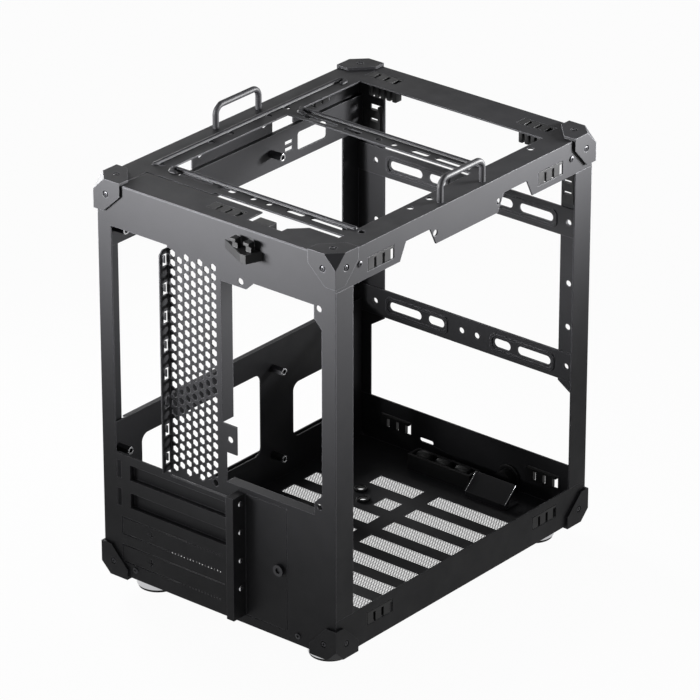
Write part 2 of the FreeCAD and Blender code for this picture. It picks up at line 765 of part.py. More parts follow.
def rear_panel():
    """The stamped rear sheet with all its openings, returns and the perforated strip."""
    body = new_body("rear_panel")
    edge = half_width - rear_strip
    io_opening = rectangle(-edge, -io_right, above(io_bottom), above(io_top))
    psu_opening = [(psu_left + psu_low_edge, above(psu_bottom)), (edge - psu_side_tab, above(psu_bottom)),
                   (edge - psu_side_tab, above(psu_bottom) + psu_side_drop),
                   (edge, above(psu_bottom) + psu_side_drop + psu_side_tab),
                   (edge, above(psu_top) - psu_side_drop - psu_side_tab),
                   (edge - psu_side_tab, above(psu_top) - psu_side_drop),
                   (edge - psu_side_tab, above(psu_top)),
                   (psu_left + psu_tab_width + psu_tab_slope, above(psu_top)),
                   (psu_left + psu_tab_width, above(psu_top) - psu_tab_drop),
                   (psu_left, above(psu_top) - psu_tab_drop), (psu_left, above(psu_low_tab_top)),
                   (psu_left + psu_low_tab_width, above(psu_low_tab_top)),
                   (psu_left + psu_low_tab_width, above(psu_low_tab_low)),
                   (psu_left + psu_low_edge, above(psu_low_tab_low))]
    windows = [io_opening, psu_opening,
               rectangle(ledge_right + fit_gap, access_right, above(ledge_low), above(ledge_top)),
               rectangle(-slot_slit_left, slot_slit_right, above(slot_slit_level),
                         above(slot_slit_level) + slot_slit_height),
               rectangle(latch_tongue_left() - fit_gap, latch_tongue_right() + fit_gap,
                         above(latch_low) + sheet_thick - fit_gap,
                         above(latch_low) + latch_height - sheet_thick + fit_gap)]
    dots = []
    for k in range(slot_count):
        middle = above(slot_first) - slot_pitch * k
        if k < open_slots:
            windows.append(rectangle(-slot_notch_left, slot_notch_width - slot_notch_left,
                                     middle - slot_notch_height / 2, middle + slot_notch_height / 2))
            windows.append(slot_opening(middle))
        else:
            top_end = break_top_ends[k - open_slots]
            low_end = break_low_ends[k - open_slots]
            windows.append(slot_break_line(middle, top_end, low_end))
            windows.append(cross_hole(-cross_left, middle))
            dots.append((top_end, middle + slot_cut_height / 2 - dot_size))
            dots.append((low_end, middle - slot_cut_height / 2))
    holes = [(psu_hole_right, above(psu_hole_top), psu_hole_radius),
             (psu_hole_right - psu_hole_pair, above(psu_hole_top), psu_hole_radius),
             (psu_hole_right, above(psu_hole_top) - psu_hole_rise, psu_hole_radius),
             (psu_hole_right - psu_low_hole, above(psu_hole_top) - psu_low_hole_drop, psu_hole_radius)]
    outline = notched_box(-half_width, half_width, bottom, top - sheet_thick, corner_relief)
    wall(body, "y", rear, sheet_thick, outline, holes, (), windows)
    for start, level in dots:
        add_break_dots(body, start, level)
    add_returns(body, edge)
    add_perforation(body)
    return body


def slot_opening(middle):
    """An open expansion slot about its middle line."""
    return rectangle(-slot_left, ledge_right - ledge_width - sheet_thick,
                     middle - slot_height / 2, middle + slot_height / 2)


def slot_break_line(middle, top_end, low_end):
    """The thin cut round three sides of a break-off slot cover."""
    low = middle - slot_cut_height / 2
    high = middle + slot_cut_height / 2
    start = -slot_cut_left
    return [(start, low), (low_end, low), (low_end, low + slot_cut),
            (start + slot_cut, low + slot_cut), (start + slot_cut, high - slot_cut),
            (top_end, high - slot_cut), (top_end, high), (start, high)]


def add_break_dots(body, start, level):
    """The row of small square holes that carries a cut line on to the cover's end."""
    count = int((dot_end.value - start.value) / dot_pitch.value)
    if count > 0:
        first = start + dot_pitch
        row = Profile(body, "y", rear)
        row.polygon(rectangle(first - dot_size, first, level, level + dot_size))
        punch(row, dot_pitch, count, "H_Axis")


def cross_hole(across, up):
    """A small cross-shaped hole."""
    near, far = cross_arm, cross_reach
    corners = [(far, -near), (far, near), (near, near), (near, far), (-near, far), (-near, near),
               (-far, near), (-far, -near), (-near, -near), (-near, -far), (near, -far), (near, -near)]
    return [(across + a, up + b) for a, b in corners]


def add_returns(body, edge):
    """Folded returns of the rear sheet: connector lip, power-supply side and the sill."""
    out = rear - io_lip_reach
    lip = [(rear + sheet_thick, above(io_lip_low)), (rear + sheet_thick, above(io_lip_top)),
           (out + io_lip_corner, above(io_lip_top)), (out, above(io_lip_top) - io_lip_corner),
           (out, above(io_lip_low))]
    notches = []
    for k in range(io_notches):
        high = above(io_notch_top) - io_notch_pitch * k
        notches.append(rectangle(out + io_notch_rim, out + io_notch_rim + io_notch_width,
                                 high - io_notch_height, high))
    wall(body, "x", -io_right, sheet_thick, lip, (), (), notches)
    wall(body, "x", psu_left - sheet_thick, sheet_thick,
         rectangle(rear, rear + psu_return, above(psu_low_tab_top), above(psu_top) - psu_tab_drop))
    wall(body, "z", above(psu_bottom) - sheet_thick, sheet_thick,
         rectangle(psu_left + psu_low_edge, edge - psu_side_tab, rear, rear + sill_return))


def add_perforation(body):
    """The staggered perforation of the strip between the two rear openings."""
    column = vent_pitch * math.sqrt(0.75)
    for first, rows, drop in ((0, vent_rows, 0.0), (1, vent_rows - 1, 0.5)):
        profile = Profile(body, "y", rear)
        level = above(vent_top) - vent_pitch * drop
        for k in range(first, vent_columns, 2):
            profile.polygon(hexagon(column * k - vent_left, level, vent_hole / 2))
        punch(profile, vent_pitch, rows)


def hexagon(across, up, radius):
    """The points of a six-sided punch with a corner at its top."""
    turns = [math.pi / 6 + k * math.pi / 3 for k in range(6)]
    return [(across + radius * math.cos(turn), up + radius * math.sin(turn)) for turn in turns]


def rear_post(label, sign):
    """A folded angle behind the rear sheet, with tongues that run up and down inside it."""
    body = new_body(label)
    outer = sign * half_width
    inner = sign * (half_width - sheet_thick)
    tongue = sign * (half_width - post_tongue)
    near = rear + sheet_thick
    angle = [(tongue, near), (outer, near), (outer, behind(post_side)), (inner, behind(post_side)),
             (inner, near + sheet_thick), (tongue, near + sheet_thick)]
    wall(body, "z", side_low, side_high - side_low, angle)
    flat = rectangle(tongue, inner, bottom + sheet_thick + corner_relief, top - sheet_thick - corner_relief)
    wall(body, "y", near, sheet_thick, flat)
    return body


def front_post(label, sign):
    """A folded angle at a front corner, wider above its gusset, with a clip window near its top."""
    body = new_body(label)
    edge = sign * (half_width - front_post_width)
    low_edge = sign * (half_width - front_post_low_width)
    outer = sign * half_width
    low = bottom + floor_front
    high = top - top_front_flange
    face = [(low_edge, low), (outer, low), (outer, high), (edge, high), (edge, above(gusset_top)),
            (low_edge, above(gusset_low))]
    across = sign * (half_width - post_hole_inset)
    holes = [(across, above(level), fan_hole_radius)
             for level in (front_fan_low, post_hole_low, post_hole_high, front_fan_low + front_fan_pitch)]
    left = post_window_left(sign)
    slit = (left + window_height / 2, above(post_slit_level), post_slit_length, post_slit_radius)
    low = above(post_window_low)
    window = rectangle(left, left + window_height, low, low + window_length)
    wall(body, "y", front - sheet_thick, sheet_thick, face, holes, [slit], [window])
    start = half_width - sheet_thick if sign > 0 else -half_width
    side = rectangle(front - post_side, front - sheet_thick, side_low, side_high)
    wall(body, "x", start, sheet_thick, side)
    return body


def post_window_left(sign):
    """Left edge of the clip window in a front post."""
    return half_width - post_window_inset - window_height if sign > 0 else post_window_inset - half_width


def front_fan_rail(label, level):
    """A front fan rail with four slots, and beads raised round each pair of slots."""
    body = new_body(label)
    reach = half_width - sheet_thick - fit_gap
    low = above(level) - front_rail_height / 2
    holes = fan_holes(Dim.of(0), above(level))
    holes += [(sign * (half_width - post_hole_inset), above(level), fan_hole_radius) for sign in (-1, 1)]
    slots = fan_openings(Dim.of(0), above(level), front_slot_radius)
    start = front - sheet_thick * 2
    wall(body, "y", start, sheet_thick, rectangle(-reach, reach, low, low + front_rail_height), holes, slots)
    rim = Profile(body, "y", start)
    near = short_slot_place - short_slot_length / 2
    far = long_slot_place + long_slot_length / 2
    for left, right in ((near, far), (-far, -near)):
        for grow in (front_bead_gap, front_bead_gap + front_bead_width):
            rise = front_slot_radius + grow
            rim.polygon(bevelled_box(left - grow, right + grow, above(level) - rise, above(level) + rise,
                                     front_bead_corner))
    pad(rim, front_rail_bead)
    return body


def bevelled_box(left, right, low, high, cut):
    """A rectangle with its corners cut off."""
    return [(left + cut, low), (right - cut, low), (right, low + cut), (right, high - cut),
            (right - cut, high), (left + cut, high), (left, high - cut), (left, low + cut)]


def tray_lower():
    """The lower motherboard plate with two windows and a folded top edge."""
    body = new_body("tray_lower")
    near = rear + sheet_thick * 2
    far = front - sheet_thick * 2
    low = bottom + sheet_thick
    high = above(tray_low_top)
    sketch = Profile(body, "x", tray_face - sheet_thick)
    sketch.polygon([(near + tray_relief, low), (far - tray_relief, low), (far, low + tray_relief),
                    (far, high), (near, high), (near, low + tray_relief)])
    sketch.round_box(behind(tray_window_rear), behind(tray_window_rear) + tray_window_length,
                     above(tray_window_low), above(tray_window_top), tray_window_round)
    sketch.round_box(behind(tray_side_window), behind(tray_side_window) + tray_side_length,
                     above(tray_window_low), above(tray_side_top), tray_window_round)
    pad(sketch, sheet_thick)
    fold = rectangle(sheet_thick - half_width, tray_face, behind(post_side) + sheet_thick,
                     front - post_side - sheet_thick)
    wall(body, "z", high - sheet_thick, sheet_thick, fold)
    return body


def tray_upper():
    """The upper motherboard strip with a cable window."""
    body = new_body("tray_upper")
    near = rear + sheet_thick * 2
    far = front - sheet_thick
    low = above(tray_high_low)
    high = side_high
    sketch = Profile(body, "x", tray_face - sheet_thick)
    sketch.polygon(rectangle(near, far, low, high))
    middle = (low + high) / 2
    sketch.round_box(behind(tray_cable_rear), behind(tray_cable_rear) + tray_cable_length,
                     middle - tray_cable_height / 2, middle + tray_cable_height / 2, tray_cable_round)
    for sign in (-1, 1):
        level = middle + sign * tray_slot_spread
        sketch.polygon(rectangle(behind(tray_slot_rear), behind(tray_slot_rear) + tray_slot_length,
                                 level - tray_slot_height / 2, level + tray_slot_height / 2))
    pad(sketch, sheet_thick)
    fold = rectangle(sheet_thick - half_width, tray_face, behind(post_side) + sheet_thick,
                     front - post_side - sheet_thick)
    wall(body, "z", high - sheet_thick, sheet_thick, fold)
    return body


def standoffs():
    """Six threaded six-sided standoffs on the tray, in two columns and three rows."""
    rows = (above(standoff_top), above(standoff_top) - standoff_row,
            above(standoff_top) - standoff_row - standoff_low_row)
    outward = Vector(1, 0, 0)
    members = []
    for column in (behind(standoff_rear), behind(standoff_rear) + standoff_column):
        for row in rows:
            place = (tray_face, column, row)
            name = "standoff_%d" % len(members)
            post = doc.addObject("Part::Prism", name)
            post.Polygon = 6
            post.setExpression("Circumradius", standoff_radius.text)
            post.setExpression("Height", standoff_length.text)
            post.Placement = Placement(Vector(), Rotation(UP, outward))
            bind_place(post, place)
            bore = bound_cylinder(name + "_bore", standoff_bore, standoff_length, place, outward)
            cut = doc.addObject("Part::Cut", name + "_post")
            cut.Base = post
            cut.Tool = bore
            members.append(cut)
    return group("motherboard_standoffs", members)


def slot_ledge():
    """The folded channel proud of the rear sheet, with one screw hole for each slot."""
    body = new_body("slot_ledge")
    left = ledge_right - ledge_width
    out = rear - ledge_depth
    channel = [(left, rear), (left, out), (ledge_right, out), (ledge_right, rear),
               (ledge_right - sheet_thick, rear), (ledge_right - sheet_thick, out + sheet_thick),
               (left + sheet_thick, out + sheet_thick), (left + sheet_thick, rear)]
    wall(body, "z", above(ledge_low), ledge_top - ledge_low, channel)
    cap = rectangle(left, ledge_right, out, rear)
    wall(body, "z", above(ledge_top) - sheet_thick, sheet_thick, cap)
    sketch = Profile(body, "x", ledge_right)
    for k in range(slot_count):
        sketch.circle(rear - ledge_depth + ledge_hole_depth,
                    above(ledge_hole_first) - slot_pitch * k, ledge_hole)
    punch(sketch)
    return body


def slot_cover(label, number):
    """A cover behind one open slot: a flange round the slot and a shallow pan set back from it."""
    body = new_body(label)
    middle = above(slot_first) - slot_pitch * number
    start = rear + sheet_thick
    inner = slot_opening(middle)
    (left, low), (right, high) = inner[0], inner[2]
    outer = rectangle(left - sheet_thick, right + sheet_thick, low - sheet_thick, high + sheet_thick)
    wall(body, "y", start, sheet_thick,
         rectangle(-slot_left - cover_overlap, ledge_right - sheet_thick,
                   middle - cover_width / 2, middle + cover_width / 2), (), (), [inner])
    rim = Profile(body, "y", start + cover_depth)
    rim.polygon(outer)
    rim.polygon(inner)
    pad(rim, cover_depth)
    wall(body, "y", start + cover_depth, sheet_thick, outer)
    return body


def access_cover():
    """The plate that closes the opening beside the ledge, with the thumbscrew's hole."""
    body = new_body("access_cover")
    left = ledge_right + fit_gap * 2
    right = access_right - fit_gap
    low = above(ledge_low) + fit_gap
    high = above(ledge_top) - fit_gap
    place = (access_right - thumb_inset, above(thumb_level), thumb_radius / 2)
    wall(body, "y", rear, sheet_thick, rectangle(left, right, low, high), [place])
    return body


def cover_thumbscrew():
    """The low-headed screw of the access cover: a head on the plate and a shank through it."""
    body = new_body("cover_thumbscrew")
    place = (access_right - thumb_inset, above(thumb_level))
    head = Profile(body, "y", rear)
    head.circle(place[0], place[1], thumb_radius)
    pad(head, thumb_head)
    shank = Profile(body, "y", rear + sheet_thick * 4)
    shank.circle(place[0], place[1], thumb_radius / 2 - fit_gap)
    pad(shank, sheet_thick * 4)
    return body


def latch_tongue_left():
    """Left side of the latch's tongue through the rear sheet."""
    return latch_notch_left + latch_prong


def latch_tongue_right():
    """Right side of the latch's tongue through the rear sheet."""
    return latch_right - latch_prong


def rear_latch():
    """The moulded panel latch: a wedge outside, two hooked prongs, and a block inside."""
    body = new_body("rear_latch")
    low = above(latch_low)
    wedge = [(latch_left, rear), (latch_left + latch_slope, rear - latch_reach),
             (latch_right - latch_prong, rear - latch_reach), (latch_right, rear)]
    wall(body, "z", low, latch_height, wedge)
    base = rear - latch_prong_base
    foot = low + latch_height
    back = base + latch_prong_thick
    nose = base - latch_hook
    high = foot + latch_prong_rise
    hook = [(base, foot), (back, foot), (back, high), (nose, high), (nose, foot + latch_hook_low),
            (base, foot + latch_hook_root)]
    for k in range(2):
        wall(body, "x", latch_left + latch_prong_start + latch_prong_pitch * k, latch_prong, hook)
    tongue = rectangle(latch_tongue_left(), latch_tongue_right(), rear, behind(latch_block_depth))
    wall(body, "z", low + sheet_thick, latch_height - sheet_thick * 2, tongue)
    block_start = behind(rear_band) - latch_notch_depth + fit_gap
    block = rectangle(latch_tongue_left(), latch_tongue_right(), block_start, behind(latch_block_depth))
    wall(body, "z", low + sheet_thick, top - low - sheet_thick, block)
    return body


def handle(label, sign):
    """A bent round bar that stands on one side rail: two legs, two quarter bends and a grip."""
    across = sign * (half_width - handle_inset)
    middle = (rear + front) / 2
    radius = handle_bar / 2
    reach = handle_length / 2 - radius
    high = top + handle_rise - radius
    bend_level = high - handle_bend
    grip = bound_cylinder(label + "_grip", radius, (reach - handle_bend) * 2,
                          (across, middle - reach + handle_bend, high), Vector(0, 1, 0))
    members = [grip]
    for end in (-1, 1):
        leg_place = middle + end * reach
        members.append(bound_cylinder("%s_leg_%d" % (label, len(members)), radius, bend_level - top,
                                      (across, leg_place, top), UP))
        members.append(quarter_bend("%s_bend_%d" % (label, len(members)), handle_bend, radius,
                                    (across, leg_place - end * handle_bend, bend_level), Vector(0, end, 0)))
    bar = doc.addObject("Part::MultiFuse", label)
    bar.Shapes = members
    return node(bar, label)


def quarter_bend(name, bend, radius, place, toward):
    """A quarter of a ring about a bound place, from a level direction round to straight up."""
    ring = doc.addObject("Part::Torus", name)
    ring.setExpression("Radius1", bend.text)
    ring.setExpression("Radius2", radius.text)
    ring.Angle3 = 90
    ring.Placement = Placement(Vector(), Rotation(toward, UP, toward.cross(UP), "ZXY"))
    bind_place(ring, place)
    return ring


def feet():
    """Four feet, each a plated cup on a slightly narrower rubber disc."""
    cups = []
    discs = []
    for along in (behind(foot_end_inset), front - foot_end_inset):
        for sign in (-1, 1):
            across = sign * (half_width - foot_side_inset)
            number = len(cups)
            cups.append(bound_cylinder("foot_cup_%d" % number, foot_radius, foot_height - foot_pad_height,
                                       (across, along, foot_pad_height), UP))
            discs.append(bound_cylinder("foot_disc_%d" % number, foot_radius - foot_pad_step,
                                        foot_pad_height, (across, along, 0), UP))
    group("foot_cups", cups)
    group("foot_pads", discs)


def corner_bracket(label, signs):
    """A folded cap over one corner of the frame, with a flat facet across the corner.

    It is worked out in the corner's own axes, which start at the cap's outer corner and run inwards.
    """
    reach = bracket_reach.value
    thick = bracket_thick.value
    facet = (bracket_corner if signs[2] > 0 else bracket_low_corner).value
    tip = bracket_tip.value
    outer = Part.makeBox(reach, reach, reach).cut(corner_solid(facet))
    inner = Part.makeBox(reach, reach, reach, Vector(thick, thick, thick))
    inner = inner.cut(corner_solid(facet + thick * math.sqrt(3)))
    shape = outer.cut(inner)
    for turn in range(3):
        triangle = [(reach, tip), (reach, reach), (facet, reach)]
        points = [Vector(*roll((a, b, 0.0), turn)) for a, b in triangle]
        face = Part.Face(Part.makePolygon(points + points[:1]))
        shape = shape.cut(face.extrude(Vector(*roll((0.0, 0.0, reach), turn))))
    for axis, sign in enumerate(signs):
        if sign > 0:
            normal = Vector(*[1.0 if k == axis else 0.0 for k in range(3)])
            shape = shape.mirror(Vector(), normal)
    feature = doc.addObject("Part::Feature", label)
    feature.Shape = shape.removeSplitter()
    limits = ((half_width + bracket_thick) * signs[0],
              (front + bracket_thick) if signs[1] > 0 else (rear - bracket_thick),
              (top + bracket_thick) if signs[2] > 0 else (bottom - bracket_thick))
    bind_place(feature, limits)
    return node(feature, label)


def roll(triple, turn):
    """Turn the order of three coordinates round by some places."""
    return triple[-turn:] + triple[:-turn] if turn else triple


def corner_solid(leg):
    """The corner of space that a facet with this leg cuts off."""
    base = Part.Face(Part.makePolygon([Vector(), Vector(leg, 0, 0), Vector(0, leg, 0), Vector()]))
    faces = [base]
    apex = Vector(0, 0, leg)
    corners = [Vector(), Vector(leg, 0, 0), Vector(0, leg, 0)]
    for one, other in zip(corners, corners[1:] + corners[:1]):
        faces.append(Part.Face(Part.makePolygon([one, other, apex, one])))
    return Part.makeSolid(Part.makeShell(faces))


def clip(name, axis, start, across, low, upright=False):
    """One spring clip: a bar along one long side of a window, with a row of teeth across it.

    axis is the wall's normal and start the clip's first place on it; an upright clip runs along Z.
    """
    body = doc.addObject("PartDesign::Body", name)
    body.Label = name
    high = window_height - fit_gap
    bar = high - clip_bar
    end = window_length - fit_gap
    comb = [(end, bar), (end, high), (fit_gap, high)]
    for k in range(clip_teeth):
        tooth = fit_gap + (clip_tooth + clip_gap) * k
        if k > 0:
            comb.append((tooth, bar))
        comb += [(tooth, fit_gap), (tooth + clip_tooth, fit_gap), (tooth + clip_tooth, bar)]
    if upright:
        comb = [(b, a) for a, b in comb]
    wall(body, axis, start, clip_depth, [(across + a, low + b) for a, b in comb])
    return body


def side_clips(label, sign):
    """The four clips in the windows of one side."""
    start = half_width - clip_depth if sign > 0 else -half_width
    members = []
    for along in (behind(window_inset), front - window_inset - window_length):
        for low in (top - window_drop - window_height, above(window_rise)):
            members.append(clip("%s_%d" % (label, len(members)), "x", start, along, low))
    return group(label, members)


def front_clips():
    """The clips in the windows of the floor's front band and of the front posts."""
    inner = half_width - front_window_inset - window_length
    start = front - clip_depth
    members = []
    for across in (inner, -inner - window_length):
        members.append(clip("front_clip_%d" % len(members), "y", start, across, above(front_window_rise)))
    for sign in (-1, 1):
        members.append(clip("front_clip_%d" % len(members), "y", start, post_window_left(sign),
                            above(post_window_low), True))
    return group("front_clips", members)


def top_clips():
    """The three clips in the windows of the top sheet."""
    inner = half_width - front_window_inset - window_length
    spots = ((inner, front - window_drop - window_height), (-inner - window_length,
             front - window_drop - window_height), (-slit_left + window_drop, behind(window_drop)))
    members = []
    for across, along in spots:
        members.append(clip("top_clip_%d" % len(members), "z", top - clip_depth, across, along))
    return group("top_clips", members)


def power_button():
    """The round housing of the button in the floor's front band."""
    place = (button_right, front - button_depth, above(button_level))
    housing = bound_cylinder("power_button", button_radius, button_depth, place, Vector(0, 1, 0))
    return node(housing, "power_button")


def cable_holder():
    """The moulded tray for the front leads, open at its top, on the floor behind the front band."""
    body = new_body("cable_holder")
    left = -holder_left
    right = holder_length - holder_left
    far = front - sheet_thick - holder_inset
    near = far - holder_depth
    low = bottom + sheet_thick
    floor_sketch = Profile(body, "z", low)
    floor_sketch.polygon(rectangle(left, right, near, far))
    pad(floor_sketch, holder_wall)
    rim = Profile(body, "z", low + holder_wall)
    rim.polygon(rectangle(left, right, near, far))
    rim.polygon(rectangle(left + holder_wall, right - holder_wall, near + holder_wall, far - holder_wall))
    pad(rim, holder_height - holder_wall)
    return body


def drive_plate():
    """The folded plate that carries a drive: a foot on the floor, a short riser and a leaning face."""
    body = new_body("drive_plate")
    low = bottom + sheet_thick
    near = front - plate_inset
    fold = low + plate_riser
    profile = [(near, low), (near + plate_foot, low), (near + plate_foot, low + sheet_thick),
               (near + sheet_thick, low + sheet_thick), (near + sheet_thick, fold - sheet_thick),
               (near + plate_lean + sheet_thick, fold + plate_height - sheet_thick),
               (near + plate_lean, fold + plate_height), (near, fold)]
    wall(body, "x", plate_left, plate_length, profile)
    return body


top_frame()
floor_pan()
rear_panel()
for side, side_sign in (("left", -1), ("right", 1)):
    rear_post("rear_%s_post" % side, side_sign)
    front_post("front_%s_post" % side, side_sign)
    handle("%s_handle" % side, side_sign)
    side_clips("%s_clips" % side, side_sign)
front_fan_rail("front_fan_rail_lower", front_fan_low)
front_fan_rail("front_fan_rail_upper", front_fan_low + front_fan_pitch)
tray_lower()
tray_upper()
standoffs()
slot_ledge()
for number in range(open_slots):
    slot_cover("slot_cover_%d" % (number + 1), number)
access_cover()
cover_thumbscrew()
rear_latch()
front_clips()
top_clips()
power_button()
cable_holder()
drive_plate()
feet()
for level_name, level_sign in (("lower", -1), ("upper", 1)):
    for end_name, end_sign in (("rear", -1), ("front", 1)):
        for side, side_sign in (("left", -1), ("right", 1)):
            label = "%s_%s_%s_bracket" % (level_name, end_name, side)
            corner_bracket(label, (side_sign, end_sign, level_sign))

# Only the last step of each body merges the faces that its folds have split.
for body in doc.findObjects("PartDesign::Body"):
    body.Tip.Refine = True

doc.recompute()

failed = [o.Label for o in doc.Objects if "Invalid" in o.State or "Error" in o.State]
failed += [o.Label for o in NODES if o.Shape.isNull() or not o.Shape.isValid() or not o.Shape.Solids]
if failed:
    raise RuntimeError("failed: " + ", ".join(failed))

os.makedirs("parts", exist_ok=True)
for feature in NODES:
    feature.Shape.exportStep("parts/%s.step" % feature.Label)
    print(feature.Label, len(feature.Shape.Solids), round(feature.Shape.Volume, 1))
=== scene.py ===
"""Looks of an open-frame mini-tower computer case: finishes, small pieces, lights and camera."""

import json
import logging
import math
from dataclasses import dataclass
from enum import Enum
from typing import Dict, List, Optional, Sequence, Tuple

import bmesh
import bpy
from mathutils import Euler, Matrix, Vector


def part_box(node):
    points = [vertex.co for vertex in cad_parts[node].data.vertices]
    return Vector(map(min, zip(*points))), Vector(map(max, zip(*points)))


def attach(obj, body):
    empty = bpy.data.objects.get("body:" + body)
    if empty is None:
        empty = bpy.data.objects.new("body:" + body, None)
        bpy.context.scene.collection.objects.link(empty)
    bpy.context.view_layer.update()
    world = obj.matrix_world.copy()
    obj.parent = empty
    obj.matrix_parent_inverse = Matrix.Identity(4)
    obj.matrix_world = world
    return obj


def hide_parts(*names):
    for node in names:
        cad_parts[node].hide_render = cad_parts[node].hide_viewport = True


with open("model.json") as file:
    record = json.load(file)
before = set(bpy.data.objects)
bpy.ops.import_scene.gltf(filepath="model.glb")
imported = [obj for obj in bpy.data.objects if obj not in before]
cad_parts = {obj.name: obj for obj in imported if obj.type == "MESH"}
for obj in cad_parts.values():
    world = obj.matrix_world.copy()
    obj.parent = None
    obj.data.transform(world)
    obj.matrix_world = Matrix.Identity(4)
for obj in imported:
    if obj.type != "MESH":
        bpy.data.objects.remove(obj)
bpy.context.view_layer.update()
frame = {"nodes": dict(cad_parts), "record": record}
LOG = logging.getLogger("case")
MM = 0.001
GRAINS_PER_CLOUD = 28.0
MESH_PITCH = 2.0
WHITE = (1.0, 1.0, 1.0, 1.0)
Point = Tuple[float, float, float]
Flat = Tuple[float, float]
Flats = Tuple[Flat, ...]


class Facing(Enum):
    """The outward direction of a surface, as the turn in degrees that brings +Z there."""

    UP = (0.0, 0.0, 0.0)
    DOWN = (180.0, 0.0, 0.0)
    REAR = (90.0, 0.0, 0.0)
    FRONT = (-90.0, 0.0, 0.0)
    RIGHT = (90.0, 0.0, 90.0)
    LEFT = (90.0, 0.0, -90.0)


class Slot(Enum):
    """Material slots of the record."""

    COAT = "powder_coat"
    PLASTIC = "black_plastic"
    RUBBER = "rubber"
    PLATED = "plated"
    STEEL = "standoff_steel"


def linear(code: str) -> Tuple[float, float, float, float]:
    """Turn an sRGB hex colour into linear light.

    Args:
        code: six hex digits with a leading hash sign.
    Returns:
        Red, green, blue and an alpha of 1.
    """
    parts = [int(code[k:k + 2], 16) / 255.0 for k in (1, 3, 5)]
    return tuple([p / 12.92 if p <= 0.04045 else ((p + 0.055) / 1.055) ** 2.4 for p in parts] + [1.0])


def add_node(tree: bpy.types.NodeTree, kind: str, settings: Optional[Dict[str, object]] = None,
             inputs: Optional[Dict[object, object]] = None) -> bpy.types.Node:
    """Add a node, set its properties, and fill or link its inputs.

    Args:
        tree: the node tree that takes the node.
        kind: the node's type name.
        settings: property names and values.
        inputs: socket names or numbers, each with a value or an output socket to link.
    Returns:
        The new node.
    """
    node = tree.nodes.new(kind)
    for name, value in (settings or {}).items():
        setattr(node, name, value)
    for name, value in (inputs or {}).items():
        if isinstance(value, bpy.types.NodeSocket):
            tree.links.new(value, node.inputs[name])
        else:
            node.inputs[name].default_value = value
    return node


@dataclass(frozen=True)
class Finish:
    """One real finish: its colour, gloss and the grain that breaks both up."""

    name: str
    colour: str
    mottle: str
    roughness: float
    roughness_spread: float
    grain_mm: float
    grain_height_mm: float
    metallic: float = 0.0
    edge_mm: float = 0.0
    specular: float = 0.5
    # Colour of a painted highlight along the edges; empty for none.
    painted_edge_highlight: str = ""

    def painted_highlight_mask(self, tree: bpy.types.NodeTree, rounded: bpy.types.NodeSocket) -> bpy.types.NodeSocket:
        """Mask of the edges that take a painted highlight, where the rounded normal leaves the flat one.

        Args:
            tree: the material's node tree.
            rounded: the rounded normal.
        Returns:
            An output from 0 on flats to 1 on edges.
        """
        flat = add_node(tree, "ShaderNodeNewGeometry").outputs["Normal"]
        match = add_node(tree, "ShaderNodeVectorMath", {"operation": "DOT_PRODUCT"}, {0: flat, 1: rounded})
        highlight_mask = add_node(tree, "ShaderNodeMapRange", {}, {"Value": match.outputs["Value"], "From Min": 0.97,
                                                         "From Max": 0.82, "To Min": 0.0, "To Max": 1.0})
        return highlight_mask.outputs["Result"]

    def material(self) -> bpy.types.Material:
        """Build the finish as a procedural material on Object coordinates.

        Returns:
            The new material.
        """
        material = bpy.data.materials.new(self.name)
        material.use_nodes = True
        tree = material.node_tree
        tree.nodes.clear()
        place = add_node(tree, "ShaderNodeTexCoord").outputs["Object"]
        scale = 1.0 / (self.grain_mm * MM)
        grain = add_node(tree, "ShaderNodeTexNoise", {}, {"Vector": place, "Scale": scale, "Detail": 3.0,
                                                          "Roughness": 0.6})
        cloud = add_node(tree, "ShaderNodeTexNoise", {}, {"Vector": place, "Scale": scale / GRAINS_PER_CLOUD,
                                                          "Detail": 4.0, "Roughness": 0.55})
        colour = add_node(tree, "ShaderNodeMix", {"data_type": "RGBA"},
                          {"Factor": cloud.outputs["Fac"], 6: linear(self.colour), 7: linear(self.mottle)})
        base = colour.outputs[2]
        gloss = add_node(tree, "ShaderNodeMapRange", {}, {
            "Value": cloud.outputs["Fac"], "From Min": 0.3, "From Max": 0.7,
            "To Min": self.roughness - self.roughness_spread,
            "To Max": self.roughness + self.roughness_spread})
        normal = {}
        if self.edge_mm > 0.0:
            round_edge = add_node(tree, "ShaderNodeBevel", {"samples": 4}, {"Radius": self.edge_mm * MM})
            normal = {"Normal": round_edge.outputs["Normal"]}
            # Painted highlight: the edges are mixed towards a lighter grey where the rounded normal leaves
            # the flat one.
            if self.painted_edge_highlight:
                highlight_mask = self.painted_highlight_mask(tree, round_edge.outputs["Normal"])
                base = add_node(tree, "ShaderNodeMix", {"data_type": "RGBA"},
                                {"Factor": highlight_mask, 6: base, 7: linear(self.painted_edge_highlight)}).outputs[2]
        bump = add_node(tree, "ShaderNodeBump", {}, {"Height": grain.outputs["Fac"], "Strength": 1.0,
                                                     "Distance": self.grain_height_mm * MM, **normal})
        shader = add_node(tree, "ShaderNodeBsdfPrincipled", {}, {
            "Base Color": base, "Roughness": gloss.outputs["Result"], "Metallic": self.metallic,
            "Specular IOR Level": self.specular, "Normal": bump.outputs["Normal"]})
        add_node(tree, "ShaderNodeOutputMaterial", {}, {"Surface": shader.outputs["BSDF"]})
        return material


# Powder-coated steel: fused grains leave a fine orange peel, so light spreads to a satin grey sheen.
# Its edges are lightened to #5c5c60, a painted highlight.
POWDER_COAT = Finish("black powder-coated steel", "#262628", "#1f1f21", 0.5, 0.04, 0.55, 0.01, edge_mm=0.6,
                     specular=0.12, painted_edge_highlight="#5c5c60")
